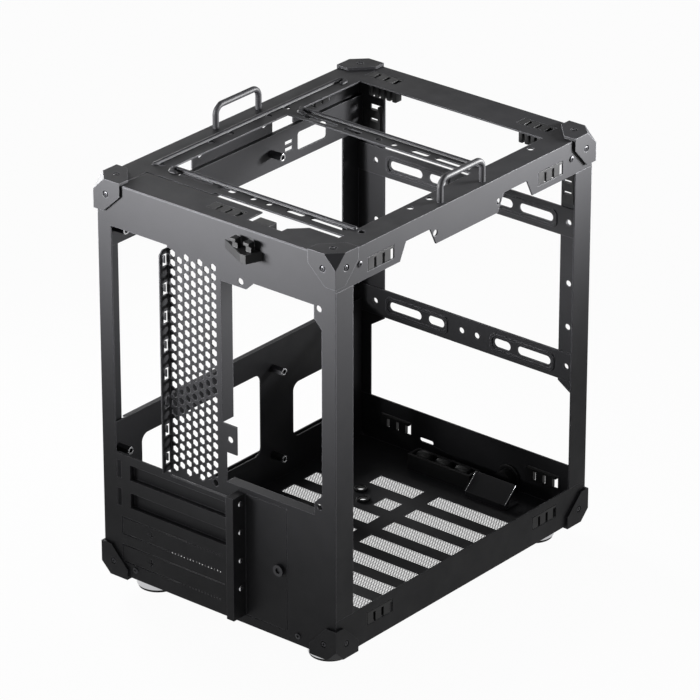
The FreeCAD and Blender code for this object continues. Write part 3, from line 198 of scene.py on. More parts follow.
# Moulded ABS: spark-eroded mould texture, a little deeper and blacker than the coated sheet.
BLACK_ABS = Finish("moulded black ABS", "#151516", "#1b1b1c", 0.45, 0.05, 0.4, 0.01, edge_mm=0.5,
                   specular=0.2)
# Nitrile rubber: soot-black, dusty and nearly without gloss.
RUBBER = Finish("black nitrile rubber", "#151515", "#1d1d1d", 0.75, 0.05, 0.8, 0.02, specular=0.3)
# Soft PVC: the grommets are moulded smooth, so their rims catch a thin bright line.
SOFT_PVC = Finish("soft black PVC", "#1a1a1b", "#202021", 0.22, 0.04, 0.8, 0.004)
# Nickel-plated steel: bright metal with slight waves from the turning.
NICKEL = Finish("nickel-plated steel", "#c9c9cb", "#b4b4b6", 0.16, 0.03, 0.9, 0.002, metallic=1.0)
# Zinc-plated steel: greyer than nickel, with the dull bands that turning leaves on the standoffs.
ZINC = Finish("zinc-plated steel", "#77777a", "#5c5c5f", 0.3, 0.05, 0.5, 0.003, metallic=1.0)
# Black-oxide steel: screws keep a thin dark oxide with a soft metal gloss.
BLACK_OXIDE = Finish("black-oxide steel", "#2a2a2c", "#36363a", 0.38, 0.05, 0.3, 0.004, metallic=0.6)


class Finishes:
    """The materials of the case, made once and given out by the record's slots."""

    def __init__(self) -> None:
        """Build every finish."""
        self.by_slot = {Slot.COAT: POWDER_COAT.material(), Slot.PLASTIC: BLACK_ABS.material(),
                        Slot.RUBBER: RUBBER.material(), Slot.PLATED: NICKEL.material(),
                        Slot.STEEL: BLACK_OXIDE.material()}
        self.zinc = ZINC.material()
        self.pvc = SOFT_PVC.material()

    def dress_nodes(self) -> None:
        """Give each CAD node the material of its slot in the record, except the standoffs, which take zinc.
        """
        for part in frame["record"]["subparts"]:
            node = frame["nodes"][part["node"]]
            node.data.materials.clear()
            bare = part["node"] == "motherboard_standoffs"
            node.data.materials.append(self.zinc if bare else self.by_slot[Slot(part["material_slot"])])
            LOG.info("dressed %s as %s", part["node"], part["material_slot"])


def mesh_object(name: str, mesh: bpy.types.Mesh) -> bpy.types.Object:
    """Put a mesh in the scene as an object at the origin.

    Args:
        name: the object's name.
        mesh: its mesh.
    Returns:
        The linked object.
    """
    thing = bpy.data.objects.new(name, mesh)
    bpy.context.scene.collection.objects.link(thing)
    return thing


def mesh_from(build: bmesh.types.BMesh, name: str, smooth: bool = True) -> bpy.types.Object:
    """Close a bmesh into an object with outward normals.

    Args:
        build: the geometry, freed here.
        name: the object's name.
        smooth: whether gentle edges shade smoothly.
    Returns:
        The linked object.
    """
    bmesh.ops.recalc_face_normals(build, faces=build.faces)
    mesh = bpy.data.meshes.new(name)
    build.to_mesh(mesh)
    build.free()
    if smooth:
        mesh.shade_smooth()
        mesh.set_sharp_from_angle(angle=math.radians(40.0))
    return mesh_object(name, mesh)


def settle(thing: bpy.types.Object) -> None:
    """Ride a finished piece on the case.

    Args:
        thing: the piece.
    """
    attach(thing, "root")
    LOG.info("made %s with %d faces", thing.name, len(thing.data.polygons))


def bake_tree(name: str, mesh: bpy.types.Mesh, tree: bpy.types.NodeTree,
              sizes: Dict[str, float]) -> bpy.types.Object:
    """Run a geometry node tree on a mesh and keep the result as a plain mesh.

    Args:
        name: the finished piece's name.
        mesh: the geometry that goes into the tree.
        tree: the geometry node tree.
        sizes: values of the tree's named inputs.
    Returns:
        The finished piece, with no modifier.
    """
    carrier = mesh_object(name + "_carrier", mesh)
    modifier = carrier.modifiers.new("nodes", "NODES")
    modifier.node_group = tree
    for item in tree.interface.items_tree:
        if item.item_type == "SOCKET" and item.in_out == "INPUT" and item.name in sizes:
            modifier[item.identifier] = sizes[item.name]
    graph = bpy.context.evaluated_depsgraph_get()
    result = bpy.data.meshes.new_from_object(carrier.evaluated_get(graph))
    bpy.data.objects.remove(carrier)
    result.name = name
    return mesh_object(name, result)


def lathe(build: bmesh.types.BMesh, profile: Sequence[Flat], ring: int, closed: bool) -> List[list]:
    """Turn a profile about Z.

    Args:
        build: the geometry that takes the faces.
        profile: radius and height of each row, in millimetres.
        ring: corners of a full turn.
        closed: whether the last row joins the first, as in a ring.
    Returns:
        The rows of corners.
    """
    turns = [2 * math.pi * k / ring for k in range(ring)]
    rows = [[build.verts.new((math.cos(t) * radius * MM, math.sin(t) * radius * MM, height * MM))
             for t in turns] for radius, height in profile]
    for low, high in zip(rows, rows[1:] + rows[:1] if closed else rows[1:]):
        for k in range(ring):
            after = (k + 1) % ring
            build.faces.new((low[k], low[after], high[after], high[k]))
    return rows


def rounded_block(build: bmesh.types.BMesh, size: Point, bevel: float, steps: int = 2) -> None:
    """A block with rounded edges, standing on the origin.

    Args:
        build: the geometry that takes the block.
        size: its width, depth and height in millimetres.
        bevel: radius of its edges in millimetres.
        steps: faces across one rounded edge.
    """
    shape = Matrix.Diagonal(Vector(size) * MM).to_4x4()
    place = Matrix.Translation((0.0, 0.0, size[2] * MM / 2))
    bmesh.ops.create_cube(build, size=1.0, matrix=place @ shape)
    bmesh.ops.bevel(build, geom=list(build.edges), offset=bevel * MM, segments=steps, profile=0.5,
                    affect="EDGES")


@dataclass(frozen=True)
class Place:
    """Seat of one copy of a small piece, in millimetres, and the way it faces."""

    point: Point
    facing: Facing
    roll: float = 0.0

    def turn(self) -> Euler:
        """Rotation of the copy, with its own roll first."""
        base = Euler([math.radians(angle) for angle in self.facing.value]).to_matrix()
        return (base @ Matrix.Rotation(math.radians(self.roll), 3, "Z")).to_euler()


@dataclass
class Spread:
    """A small piece set at many places by geometry nodes, kept as one plain mesh."""

    name: str
    material: bpy.types.Material
    slot: Slot
    places: List[Place]

    def shape(self) -> bpy.types.Object:
        """The piece itself, its axis along Z and its seat at the origin."""
        raise NotImplementedError

    def tree(self, shape: bpy.types.Object) -> bpy.types.NodeTree:
        """Node tree that sets the shape on every point, turned by the point's attribute.

        Args:
            shape: the object to instance.
        Returns:
            The geometry node tree.
        """
        tree = bpy.data.node_groups.new(self.name + "_tree", "GeometryNodeTree")
        tree.interface.new_socket("Points", in_out="INPUT", socket_type="NodeSocketGeometry")
        tree.interface.new_socket("Copy scale", in_out="INPUT", socket_type="NodeSocketFloat")
        tree.interface.new_socket("Copies", in_out="OUTPUT", socket_type="NodeSocketGeometry")
        source = add_node(tree, "NodeGroupInput")
        turn = add_node(tree, "GeometryNodeInputNamedAttribute", {"data_type": "FLOAT_VECTOR"},
                        {"Name": "turn"})
        rotation = add_node(tree, "FunctionNodeEulerToRotation", {}, {"Euler": turn.outputs["Attribute"]})
        info = add_node(tree, "GeometryNodeObjectInfo", {}, {"Object": shape})
        spread = add_node(tree, "GeometryNodeInstanceOnPoints", {}, {
            "Points": source.outputs["Points"], "Instance": info.outputs["Geometry"],
            "Rotation": rotation.outputs["Rotation"], "Scale": source.outputs["Copy scale"]})
        real = add_node(tree, "GeometryNodeRealizeInstances", {}, {"Geometry": spread.outputs["Instances"]})
        joined = add_node(tree, "GeometryNodeMergeByDistance", {}, {"Geometry": real.outputs["Geometry"],
                                                                    "Distance": 0.01 * MM})
        painted = add_node(tree, "GeometryNodeSetMaterial", {}, {"Geometry": joined.outputs["Geometry"],
                                                                 "Material": self.material})
        add_node(tree, "NodeGroupOutput", {}, {"Copies": painted.outputs["Geometry"]})
        return tree

    def build(self) -> bpy.types.Object:
        """Make all copies as one piece.

        Returns:
            The finished piece.
        """
        points = bpy.data.meshes.new(self.name + "_points")
        points.from_pydata([tuple(c * MM for c in place.point) for place in self.places], [], [])
        turns = points.attributes.new("turn", "FLOAT_VECTOR", "POINT")
        for k, place in enumerate(self.places):
            turns.data[k].vector = place.turn()
        shape = self.shape()
        piece = bake_tree(self.name, points, self.tree(shape), {"Copy scale": 1.0})
        bpy.data.objects.remove(shape)
        settle(piece)
        return piece


@dataclass
class Screws(Spread):
    """Countersunk cross-head screws."""

    head_radius: float = 2.4
    head_rise: float = 0.6
    ring: int = 20

    def shape(self) -> bpy.types.Object:
        """One screw head with a cross recess.

        Returns:
            A scratch object that the node tree instances.
        """
        build = bmesh.new()
        radius = self.head_radius
        rise = self.head_rise
        steps = ((1.0, -0.2), (1.0, 0.35), (0.93, 0.7), (0.72, 1.0))
        rows = lathe(build, [(radius * share, rise * level) for share, level in steps], self.ring, False)
        arm = radius * 0.58
        half = radius * 0.14
        corner = [(arm, -half), (arm, half), (half, half)]
        cross = [(x * math.cos(t) - y * math.sin(t), x * math.sin(t) + y * math.cos(t))
                 for t in (0.0, math.pi / 2, math.pi, math.pi * 1.5) for x, y in corner]
        lip = [build.verts.new((x * MM, y * MM, rise * 1.05 * MM)) for x, y in cross]
        pit = [build.verts.new((x * 0.75 * MM, y * 0.75 * MM, -rise * 0.1 * MM)) for x, y in cross]
        for k in range(len(cross)):
            after = (k + 1) % len(cross)
            build.faces.new((lip[k], lip[after], pit[after], pit[k]))
        build.faces.new(pit)
        edges = [build.edges.get((loop[k], loop[(k + 1) % len(loop)])) or
                 build.edges.new((loop[k], loop[(k + 1) % len(loop)]))
                 for loop in (rows[-1], lip) for k in range(len(loop))]
        bmesh.ops.triangle_fill(build, use_beauty=True, edges=edges)
        return mesh_from(build, self.name + "_shape")


@dataclass
class Rings(Spread):
    """Turned rings: bright standoff tips, the rubber grommets of the floor, or the button's rim."""

    outer: float = 2.9
    inner: float = 1.6
    height: float = 0.5
    ring: int = 28

    def shape(self) -> bpy.types.Object:
        """One ring with rounded shoulders.

        Returns:
            A scratch object that the node tree instances.
        """
        build = bmesh.new()
        soft = min(self.height, self.outer - self.inner) * 0.35
        profile = [(self.inner, 0.0), (self.outer, 0.0), (self.outer, self.height - soft),
                   (self.outer - soft * 0.3, self.height - soft * 0.3), (self.outer - soft, self.height),
                   (self.inner + soft, self.height), (self.inner + soft * 0.3, self.height - soft * 0.3),
                   (self.inner, self.height - soft)]
        lathe(build, profile, self.ring, True)
        return mesh_from(build, self.name + "_shape")


@dataclass
class Caps(Spread):
    """Rounded caps: the clips' teeth and fingers, tabs of the lip, or lumps in the floor's holder."""

    size: Point = (5.0, 7.6, 1.2)
    bevel: float = 0.55

    def shape(self) -> bpy.types.Object:
        """One rounded cap.

        Returns:
            A scratch object that the node tree instances.
        """
        build = bmesh.new()
        rounded_block(build, self.size, self.bevel)
        return mesh_from(build, self.name + "_shape")


@dataclass
class MeshTiles(Spread):
    """Six-sided tiles with a hole each, which join to the fine punched mesh of the floor."""

    pitch: float = MESH_PITCH
    hole_radius: float = 0.9
    thick: float = 0.16

    def shape(self) -> bpy.types.Object:
        """One tile, its corners pointing along Y.

        Returns:
            A scratch object that the node tree instances.
        """
        build = bmesh.new()
        turns = [math.radians(30.0 + 60.0 * k) for k in range(6)]
        rows = []
        for radius, height in ((self.hole_radius, 0.0), (self.pitch / math.sqrt(3.0), 0.0),
                               (self.pitch / math.sqrt(3.0), self.thick), (self.hole_radius, self.thick)):
            rows.append([build.verts.new((math.cos(t) * radius * MM, math.sin(t) * radius * MM, height * MM))
                         for t in turns])
        for low, high in ((rows[0], rows[1]), (rows[2], rows[3]), (rows[3], rows[0])):
            for k in range(6):
                after = (k + 1) % 6
                build.faces.new((low[k], low[after], high[after], high[k]))
        return mesh_from(build, self.name + "_shape", smooth=False)


@dataclass
class Carved:
    """A CAD node's skin with cuts too fine for the frame, which shows in the node's place."""

    node: str
    material: bpy.types.Material
    slot: Slot

    def cut(self, cutter: bpy.types.Object) -> bpy.types.Object:
        """Cut the node's skin and let it stand for the node.

        Args:
            cutter: closed solids to take away, removed here.
        Returns:
            The finished piece.
        """
        source = frame["nodes"][self.node]
        build = bmesh.new()
        build.from_mesh(source.data)
        build.transform(source.matrix_world)
        bmesh.ops.remove_doubles(build, verts=build.verts, dist=1e-6)
        scratch = mesh_from(build, self.node + "_scratch", smooth=False)
        carve = scratch.modifiers.new("carve", "BOOLEAN")
        carve.operation = "DIFFERENCE"
        carve.solver = "EXACT"
        carve.object = cutter
        graph = bpy.context.evaluated_depsgraph_get()
        mesh = bpy.data.meshes.new_from_object(scratch.evaluated_get(graph))
        mesh.materials.clear()
        mesh.materials.append(self.material)
        for thing in (scratch, cutter):
            bpy.data.objects.remove(thing)
        piece = mesh_object(self.node + "_carved", mesh)
        settle(piece)
        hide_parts(self.node)
        return piece


@dataclass
class Sweeps:
    """Half-round beads or edges swept along bent routes, all in one piece."""

    name: str
    material: bpy.types.Material
    slot: Slot
    routes: List[List[Point]]
    half_width: float
    height: float
    bend: float = 2.6
    steps: int = 10

    def smooth_route(self, route: Sequence[Point]) -> List[Vector]:
        """Round the corners of a route.

        Args:
            route: corner points in millimetres.
        Returns:
            Points along the route with each corner as a short arc.
        """
        points = [Vector(p) for p in route]
        path = [points[0]]
        for before, corner, after in zip(points, points[1:], points[2:]):
            reach = min(self.bend, (corner - before).length * 0.5, (after - corner).length * 0.5)
            start = corner + (before - corner).normalized() * reach
            stop = corner + (after - corner).normalized() * reach
            for k in range(7):
                t = k / 6.0
                path.append(start * (1 - t) ** 2 + corner * 2 * t * (1 - t) + stop * t ** 2)
        path.append(points[-1])
        return path

    def sweep(self, build: bmesh.types.BMesh, path: Sequence[Vector]) -> None:
        """Carry the section along one path, closing in to a point at both ends.

        Args:
            build: the geometry that takes the faces.
            path: points in millimetres.
        """
        stations = []
        for k, point in enumerate(path):
            along = (path[min(k + 1, len(path) - 1)] - path[max(k - 1, 0)]).normalized()
            stations.append((point, along, 1.0))
        lead = (path[1] - path[0]).normalized()
        tail = (path[-1] - path[-2]).normalized()
        for share, size in ((0.5, 0.87), (0.87, 0.5), (1.0, 0.08)):
            stations.insert(0, (path[0] - lead * self.half_width * share, lead, size))
            stations.append((path[-1] + tail * self.half_width * share, tail, size))
        rows = []
        for point, along, size in stations:
            side = along.cross(Vector((0.0, 0.0, 1.0)))
            side = side.normalized() if side.length > 0.05 else Vector((1.0, 0.0, 0.0))
            rise = side.cross(along).normalized()
            row = []
            for j in range(self.steps + 1):
                t = math.pi * j / self.steps
                offset = side * math.cos(t) * self.half_width + rise * math.sin(t) * self.height
                row.append(build.verts.new((point + offset * size) * MM))
            rows.append(row)
        for low, high in zip(rows, rows[1:]):
            for j in range(self.steps):
                build.faces.new((low[j], low[j + 1], high[j + 1], high[j]))
            build.faces.new((low[self.steps], low[0], high[0], high[self.steps]))
        build.faces.new(rows[0])
        build.faces.new(rows[-1])

    def build(self) -> bpy.types.Object:
        """Make all routes as one piece.

        Returns:
            The finished piece.
        """
        build = bmesh.new()
        for route in self.routes:
            self.sweep(build, self.smooth_route(route))
        piece = mesh_from(build, self.name)
        piece.data.materials.append(self.material)
        settle(piece)
        return piece


@dataclass(frozen=True)
class Lamp:
    """A soft rectangular lamp with a grid before it, its place, aim and size in metres."""

    name: str
    place: Point
    aim: Point
    size: Flat
    watts: float
    spread: float

    def hang(self) -> None:
        """Put the lamp in the scene, its beam as wide as its spread in degrees."""
        data = bpy.data.lights.new(self.name, "AREA")
        data.shape = "RECTANGLE"
        data.size, data.size_y = self.size
        data.energy = self.watts
        data.spread = math.radians(self.spread)
        lamp = bpy.data.objects.new(self.name, data)
        bpy.context.scene.collection.objects.link(lamp)
        lamp.location = self.place
        aim = Vector(self.aim) - Vector(self.place)
        lamp.rotation_euler = aim.to_track_quat("-Z", "Y").to_euler()


# Low lamps graze the rear and the right posts, so the top faces stay dark and the edges catch the light.
LAMPS = (Lamp("rear", (-0.45, -0.75, 0.36), (0.0, -0.13, 0.43), (0.3, 0.2), 6.0, 46.0),
         Lamp("right", (0.45, 0.5, 0.37), (0.1, 0.06, 0.41), (0.25, 0.16), 5.2, 52.0),
         Lamp("left", (-0.75, 0.2, 0.34), (-0.1, 0.0, 0.22), (0.3, 0.2), 1.6, 70.0),
         Lamp("over_left", (-0.67, 0.7, 0.72), (-0.09, 0.0, 0.29), (0.3, 0.3), 0.06, 60.0))


@dataclass
class Studio:
    """Pale floor, soft lamps and the camera at the photograph's angle."""

    target_mm: Point = (1.10, 6.45, 154.2)
    azimuth: float = 39.675
    elevation: float = 25.316
    distance_mm: float = 3291.0
    lens: float = 257.7
    floor_size: float = 12.0
    floor_glow: float = 0.965
    wall_height: float = 1.5
    fill: float = 0.24

    def camera(self) -> None:
        """Set the camera on the view direction, looking at the target."""
        turn = math.radians(self.azimuth)
        lift = math.radians(self.elevation)
        back = Vector((math.sin(turn) * math.cos(lift), -math.cos(turn) * math.cos(lift), math.sin(lift)))
        data = bpy.data.cameras.new("camera")
        data.lens = self.lens
        data.sensor_width = 36.0
        data.clip_end = 50.0
        camera = bpy.data.objects.new("camera", data)
        bpy.context.scene.collection.objects.link(camera)
        camera.location = Vector(self.target_mm) * MM + back * self.distance_mm * MM
        camera.rotation_euler = (-back).to_track_quat("-Z", "Y").to_euler()
        bpy.context.scene.camera = camera

    def seen_rays(self, tree: bpy.types.NodeTree) -> bpy.types.NodeSocket:
        """Share of a ray that shows the background: camera, mirror and glass rays.

        Args:
            tree: the node tree of the floor.
        Returns:
            An output of 1 for such rays and 0 for the rest.
        """
        ray = add_node(tree, "ShaderNodeLightPath")
        both = add_node(tree, "ShaderNodeMath", {"operation": "MAXIMUM"},
                        {0: ray.outputs["Is Camera Ray"], 1: ray.outputs["Is Glossy Ray"]})
        every = add_node(tree, "ShaderNodeMath", {"operation": "MAXIMUM"},
                         {0: both.outputs[0], 1: ray.outputs["Is Transmission Ray"]})
        return every.outputs[0]

    def floor(self) -> None:
        """Lay the pale floor with a low pale wall round it, nearly white by itself, with the shadow kept."""
        build = bmesh.new()
        radius = self.floor_size / 2 / MM
        rows = lathe(build, [(radius, 0.0), (radius, self.wall_height / MM)], 64, False)
        build.faces.new(rows[0])
        plane = mesh_from(build, "studio_floor")
        material = bpy.data.materials.new("white card")
        material.use_nodes = True
        tree = material.node_tree
        tree.nodes.clear()
        card = add_node(tree, "ShaderNodeBsdfDiffuse", {}, {"Color": linear("#f4f4f4")})
        glow = add_node(tree, "ShaderNodeEmission", {}, {"Color": WHITE, "Strength": 1.0})
        share = add_node(tree, "ShaderNodeMath", {"operation": "MULTIPLY"},
                         {0: self.seen_rays(tree), 1: self.floor_glow})
        mixed = add_node(tree, "ShaderNodeMixShader", {}, {0: share.outputs[0], 1: card.outputs["BSDF"],
                                                           2: glow.outputs["Emission"]})
        add_node(tree, "ShaderNodeOutputMaterial", {}, {"Surface": mixed.outputs["Shader"]})
        plane.data.materials.append(material)

    def world(self) -> None:
        """Fill the shadows a little from all round."""
        world = bpy.data.worlds.new("studio")
        bpy.context.scene.world = world
        world.use_nodes = True
        tree = world.node_tree
        tree.nodes.clear()
        sky = add_node(tree, "ShaderNodeBackground", {}, {"Color": WHITE, "Strength": self.fill})
        add_node(tree, "ShaderNodeOutputWorld", {}, {"Surface": sky.outputs["Background"]})

    def build(self) -> None:
        """Set up the whole studio."""
        bpy.context.scene.view_settings.view_transform = "Standard"
        self.camera()
        self.floor()
        self.world()
        for lamp in LAMPS:
            lamp.hang()


@dataclass
class CaseDetails:
    """Places of the small pieces that the CAD frame leaves to the looks, in millimetres."""

    finishes: Finishes

    # Faces of the frame
    half_width: float = 99.0
    rear: float = -125.9
    front: float = 136.1
    floor_level: float = 14.0
    top: float = 294.0
    sheet: float = 1.0

    # Screws, grommets, standoffs and the tabs of the connector opening's lip
    bracket_screw_depth: float = 10.5
    sink: float = 0.6
    flange_screws: Flats = ((-102.0, 282.1), (113.8, 281.9))
    foot_screws: Flats = ((-72.3, 19.8), (67.6, 19.3))
    grommet_holes: Flats = ((-40.5, 68.1), (-29.5, 57.1))
    slot_pitch: float = 20.32
    ledge_screw: Point = (24.0, -131.4, 102.4)
    standoff_face: float = -84.6
    standoff_columns: Flat = (-115.1, 39.84)
    standoff_levels: Point = (257.2, 99.72, 34.22)
    lip_tab: Point = (-40.6, -128.0, 254.6)
    lip_tab_pitch: float = 20.0

    # Spring clips and the windows that hold them
    tooth_steps: Point = (3.3, 11.5, 19.7)
    tooth_seat: float = 1.2
    side_windows: Flat = (-94.4, 78.6)
    side_window_levels: Flat = (279.2, 29.3)
    front_windows: Flat = (51.0, -77.0)
    band_window_level: float = 31.2
    rear_window: Flat = (-15.0, -111.1)
    post_windows: Flat = (-82.3, 82.3)
    post_window_level: float = 239.0
    top_clip_row: float = 121.3
    finger_middle: float = 63.5
    finger_pitch: float = 5.0
    finger_drop: float = 1.4

    # Mesh patches of the floor
    patch_first: float = 49.0
    patch_pitch: float = 24.0
    patch_half: float = 7.0
    patch_left: Flat = (-81.5, -4.9)
    patch_right: Flat = (6.7, 68.0)
    patch_rows: int = 8
    mesh_drop: float = 0.18

    # Grooves behind the break-off holes, and the button of the front band
    groove_starts: Flats = ((-27.0, 55.26), (-41.9, 43.26), (-32.0, 22.94))
    groove_end: float = 4.0
    groove_section: Flat = (1.2, 2.4)
    button: Flat = (35.5, 22.4)

    def bracket_screws(self) -> Dict[str, List[Place]]:
        """Screws in the three faces of each corner cap, seated below the face.

        Returns:
            Their places by the cap's name.
        """
        places = {}
        for name in [n for n in frame["nodes"] if n.endswith("_bracket")]:
            low, high = (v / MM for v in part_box(name))
            side = Facing.RIGHT if "_right_" in name else Facing.LEFT
            end = Facing.FRONT if "_front_" in name else Facing.REAR
            level = Facing.UP if name.startswith("upper") else Facing.DOWN
            outer = (side is Facing.RIGHT, end is Facing.FRONT, level is Facing.UP)
            corner = Vector([high[k] if far else low[k] for k, far in enumerate(outer)])
            inward = Vector([-1.0 if far else 1.0 for far in outer]) * self.bracket_screw_depth
            for facing, axis in ((side, 0), (end, 1), (level, 2)):
                spot = corner + inward
                spot[axis] = corner[axis] + math.copysign(self.sink, inward[axis])
                places.setdefault(name, []).append(Place(tuple(spot), facing))
        return places

    def sheet_screws(self) -> List[Place]:
        """Screws that hold the flanges and the rear panel's foot.

        Returns:
            Their places.
        """
        right = [Place((self.half_width, y, z), Facing.RIGHT) for y, z in self.flange_screws]
        foot = [Place((x, self.rear, z), Facing.REAR) for x, z in self.foot_screws]
        return right + foot

    def ledge_screws(self) -> List[Place]:
        """Bright screws along the slot ledge."""
        x, y, z = self.ledge_screw
        return [Place((x, y, z - self.slot_pitch * k), Facing.RIGHT) for k in range(4)]

    def standoff_tips(self) -> List[Place]:
        """Bright ring tips of the board's standoffs."""
        return [Place((self.standoff_face, y, z), Facing.RIGHT)
                for y in self.standoff_columns for z in self.standoff_levels]

    def grommets(self) -> List[Place]:
        """Grommets of the floor's two lead holes."""
        return [Place((x, y, self.floor_level), Facing.UP) for x, y in self.grommet_holes]

    def lip_tabs(self) -> List[Place]:
        """Tabs beside the notches of the connector opening's lip."""
        x, y, z = self.lip_tab
        return [Place((x, y, z - self.lip_tab_pitch * k), Facing.REAR) for k in range(8)]

    def clip_teeth(self) -> List[Place]:
        """Rounded tooth ends of the spring clips, in every window.

        Returns:
            Their places.
        """
        side = self.half_width - self.tooth_seat
        front = self.front - self.tooth_seat
        top = self.top - self.tooth_seat
        places = []
        for along in self.tooth_steps:
            for y in self.side_windows:
                for z in self.side_window_levels:
                    places.append(Place((side, y + along, z), Facing.RIGHT))
                    places.append(Place((-side, y + along, z), Facing.LEFT))
            for x in self.front_windows:
                places.append(Place((x + along, front, self.band_window_level), Facing.FRONT))
                places.append(Place((x + along, self.top_clip_row, top), Facing.UP))
            x, y = self.rear_window
            places.append(Place((x + along, y, top), Facing.UP))
            for x in self.post_windows:
                places.append(Place((x, front, self.post_window_level + along), Facing.FRONT, 90.0))
        return places

    def clip_fingers(self) -> List[Place]:
        """Fingers of the top's front clips, which hang below the sheet.

        Returns:
            Their places.
        """
        level = self.top - self.finger_drop
        across = [side * self.finger_middle + self.finger_pitch * k for side in (-1, 1) for k in range(-2, 3)]
        return [Place((x, self.top_clip_row, level), Facing.DOWN) for x in across]

    def patches(self) -> List[Tuple[float, float, float, float]]:
        """Limits of the floor's mesh patches.

        Returns:
            Left, right, near and far edges of each patch.
        """
        left, stop_left = self.patch_left
        short_rows = {0: [(-44.0, stop_left)], 1: [(left, -52.0), (-20.4, stop_left)]}
        limits = []
        for row in range(self.patch_rows):
            middle = self.front - self.patch_first - self.patch_pitch * row
            for start, stop in short_rows.get(row, [self.patch_left]) + [self.patch_right]:
                limits.append((start, stop, middle - self.patch_half, middle + self.patch_half))
        return limits

    def mesh_tiles(self) -> List[Place]:
        """Tiles of the floor's mesh, each row half a step off from the last.

        Returns:
            Their places.
        """
        row_step = MESH_PITCH * math.sqrt(3.0) / 2
        level = self.floor_level - self.mesh_drop
        places = []
        for left, right, near, far in self.patches():
            for row in range(int((far - near) / row_step) + 1):
                first = left + (MESH_PITCH / 2 if row % 2 else 0.0)
                along = near + row_step * (row + 0.25)
                places += [Place((first + MESH_PITCH * k, along, level), Facing.UP)
                           for k in range(int((right - first) / MESH_PITCH) + 1)]
        return places

    def patch_cutter(self) -> bpy.types.Object:
        """Blocks that open the floor plate at every mesh patch.

        Returns:
            A scratch object of closed blocks.
        """
        build = bmesh.new()
        for left, right, near, far in self.patches():
            size = Vector((right - left, far - near, 3.0)) * MM
            middle = Vector(((left + right) / 2, (near + far) / 2, self.floor_level - 0.5)) * MM
            bmesh.ops.create_cube(build, size=1.0,
                                  matrix=Matrix.Translation(middle) @ Matrix.Diagonal(size).to_4x4())
        return mesh_from(build, "patch_cutter", smooth=False)

    def groove_cutter(self) -> bpy.types.Object:
        """Grooves that thin the rear panel behind the rows of break-off holes.

        Returns:
            A scratch object of closed blocks.
        """
        build = bmesh.new()
        for left, level in self.groove_starts:
            size = Vector((self.groove_end - left, *self.groove_section)) * MM
            middle = Vector(((left + self.groove_end) / 2, self.rear + 0.9, level + 0.5)) * MM
            bmesh.ops.create_cube(build, size=1.0,
                                  matrix=Matrix.Translation(middle) @ Matrix.Diagonal(size).to_4x4())
        return mesh_from(build, "groove_cutter", smooth=False)

    def socket_cutter(self) -> bpy.types.Object:
        """Six-sided socket in the thumbscrew's head.

        Returns:
            A scratch object of one closed prism.
        """
        low, high = (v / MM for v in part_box("cover_thumbscrew"))
        build = bmesh.new()
        rows = lathe(build, [(2.0, -1.2), (2.0, -0.3), (2.4, 0.4)], 6, False)
        build.faces.new(rows[0])
        build.faces.new(rows[-1])
        seat = Place(((low.x + high.x) / 2, low.y, (low.z + high.z) / 2), Facing.REAR)
        build.transform(Matrix.Translation(Vector(seat.point) * MM) @ seat.turn().to_matrix().to_4x4())
        return mesh_from(build, "socket_cutter", smooth=False)

    def sink_cutter(self, screws: List[Place]) -> bpy.types.Object:
        """Countersinks for the screws of one corner cap.

        Args:
            screws: places of the cap's screws.
        Returns:
            A scratch object of closed cones.
        """
        build = bmesh.new()
        for screw in screws:
            cone = bmesh.new()
            profile = [(2.0, -0.55), (2.0, 0.0), (2.5, self.sink), (2.5, self.sink + 1.0)]
            rows = lathe(cone, profile, 24, False)
            cone.faces.new(rows[0])
            cone.faces.new(rows[-1])
            cone.transform(Matrix.Translation(Vector(screw.point) * MM) @ screw.turn().to_matrix().to_4x4())
            part = bpy.data.meshes.new("sink")
            cone.to_mesh(part)
            cone.free()
            build.from_mesh(part)
            bpy.data.meshes.remove(part)
        return mesh_from(build, "sink_cutter", smooth=False)

    def beads(self) -> List[List[Point]]:
        """Routes of the raised half-round beads on the top frame.

        Returns:
            Routes as corner points.
        """
        flat = [[(-65.0, -88.8), (-69.8, -88.8), (-69.8, -83.0), (79.0, -83.0)],
                [(-65.0, 38.7), (-69.8, 38.7), (-69.8, 44.5), (79.0, 44.5)],
                [(-84.7, -86.0), (-84.7, 100.0), (-79.5, 100.0), (-79.5, 95.0)]]
        return [[(x, y, self.top) for x, y in route] for route in flat]

    def holder_lumps(self) -> List[Place]:
        """Rounded lumps that sit in the holder on the floor."""
        return [Place((x, 119.1, 16.4), Facing.UP) for x in (-26.0, -9.0, 8.0)]

    def button_collar(self) -> List[Place]:
        """The rim of the button's housing, against the inside of the front band."""
        x, z = self.button
        return [Place((x, self.front - self.sheet, z), Facing.REAR)]

    def plate_edges(self) -> List[List[Point]]:
        """Routes of bright nickel strips on the edges of the small leaning plate, which stand for a painted
        highlight.
        """
        return [[(x, 105.4, 18.2), (x, 117.2, 28.4)] for x in (20.9, 55.1)]

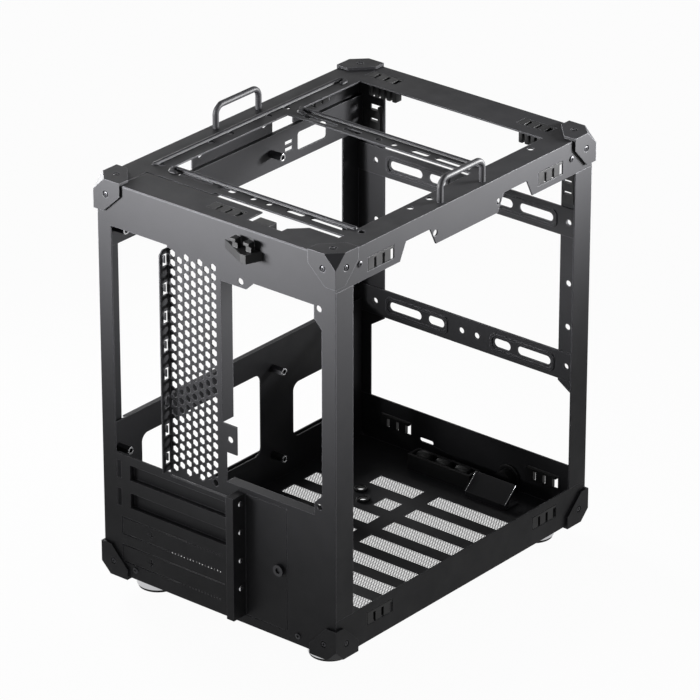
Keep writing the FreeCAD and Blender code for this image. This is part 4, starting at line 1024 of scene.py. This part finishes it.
    def build(self) -> None:
        """Make every small piece."""
        look = self.finishes.by_slot
        coat = (look[Slot.COAT], Slot.COAT)
        plastic = (look[Slot.PLASTIC], Slot.PLASTIC)
        plated = (look[Slot.PLATED], Slot.PLATED)
        steel = (look[Slot.STEEL], Slot.STEEL)
        caps = self.bracket_screws()
        for name, screws in caps.items():
            Carved(name, *coat).cut(self.sink_cutter(screws))
        Carved("rear_panel", *coat).cut(self.groove_cutter())
        Carved("cover_thumbscrew", *steel).cut(self.socket_cutter())
        Carved("floor_pan", *coat).cut(self.patch_cutter())
        Screws("bracket_screws", *steel, sum(caps.values(), []), head_radius=1.8, head_rise=0.5).build()
        Screws("sheet_screws", *steel, self.sheet_screws(), head_radius=2.2, head_rise=0.8).build()
        Screws("ledge_screws", *plated, self.ledge_screws(), head_radius=2.0, head_rise=0.8).build()
        Rings("standoff_tips", *plated, self.standoff_tips(), outer=2.6, inner=1.5, height=0.5).build()
        Rings("grommets", self.finishes.pvc, Slot.RUBBER, self.grommets(), outer=4.9, inner=3.1,
              height=1.8).build()
        Rings("button_collar", *plastic, self.button_collar(), outer=9.4, inner=6.3, height=1.6).build()
        Caps("lip_tabs", *coat, self.lip_tabs(), size=(2.6, 5.4, 0.9), bevel=0.4).build()
        Caps("clip_teeth", *plastic, self.clip_teeth(), size=(4.4, 8.0, 0.9), bevel=0.4).build()
        Caps("clip_fingers", *plastic, self.clip_fingers(), size=(3.4, 6.5, 13.0), bevel=0.6).build()
        MeshTiles("floor_mesh", *coat, self.mesh_tiles()).build()
        Sweeps("beads", *coat, self.beads(), half_width=1.75, height=1.6).build()
        Caps("holder_lumps", *plastic, self.holder_lumps(), size=(13.0, 7.4, 11.0), bevel=3.2).build()
        # The nickel strips on the plate's edges are a painted highlight.
        Sweeps("plate_edges", *plated, self.plate_edges(), half_width=0.35, height=0.35).build()


def main() -> None:
    """Dress the frame, add the small pieces and light the scene."""
    logging.basicConfig(level=logging.INFO, format="%(message)s")
    finishes = Finishes()
    finishes.dress_nodes()
    CaseDetails(finishes).build()
    Studio().build()


if __name__ == "__main__":
    main()
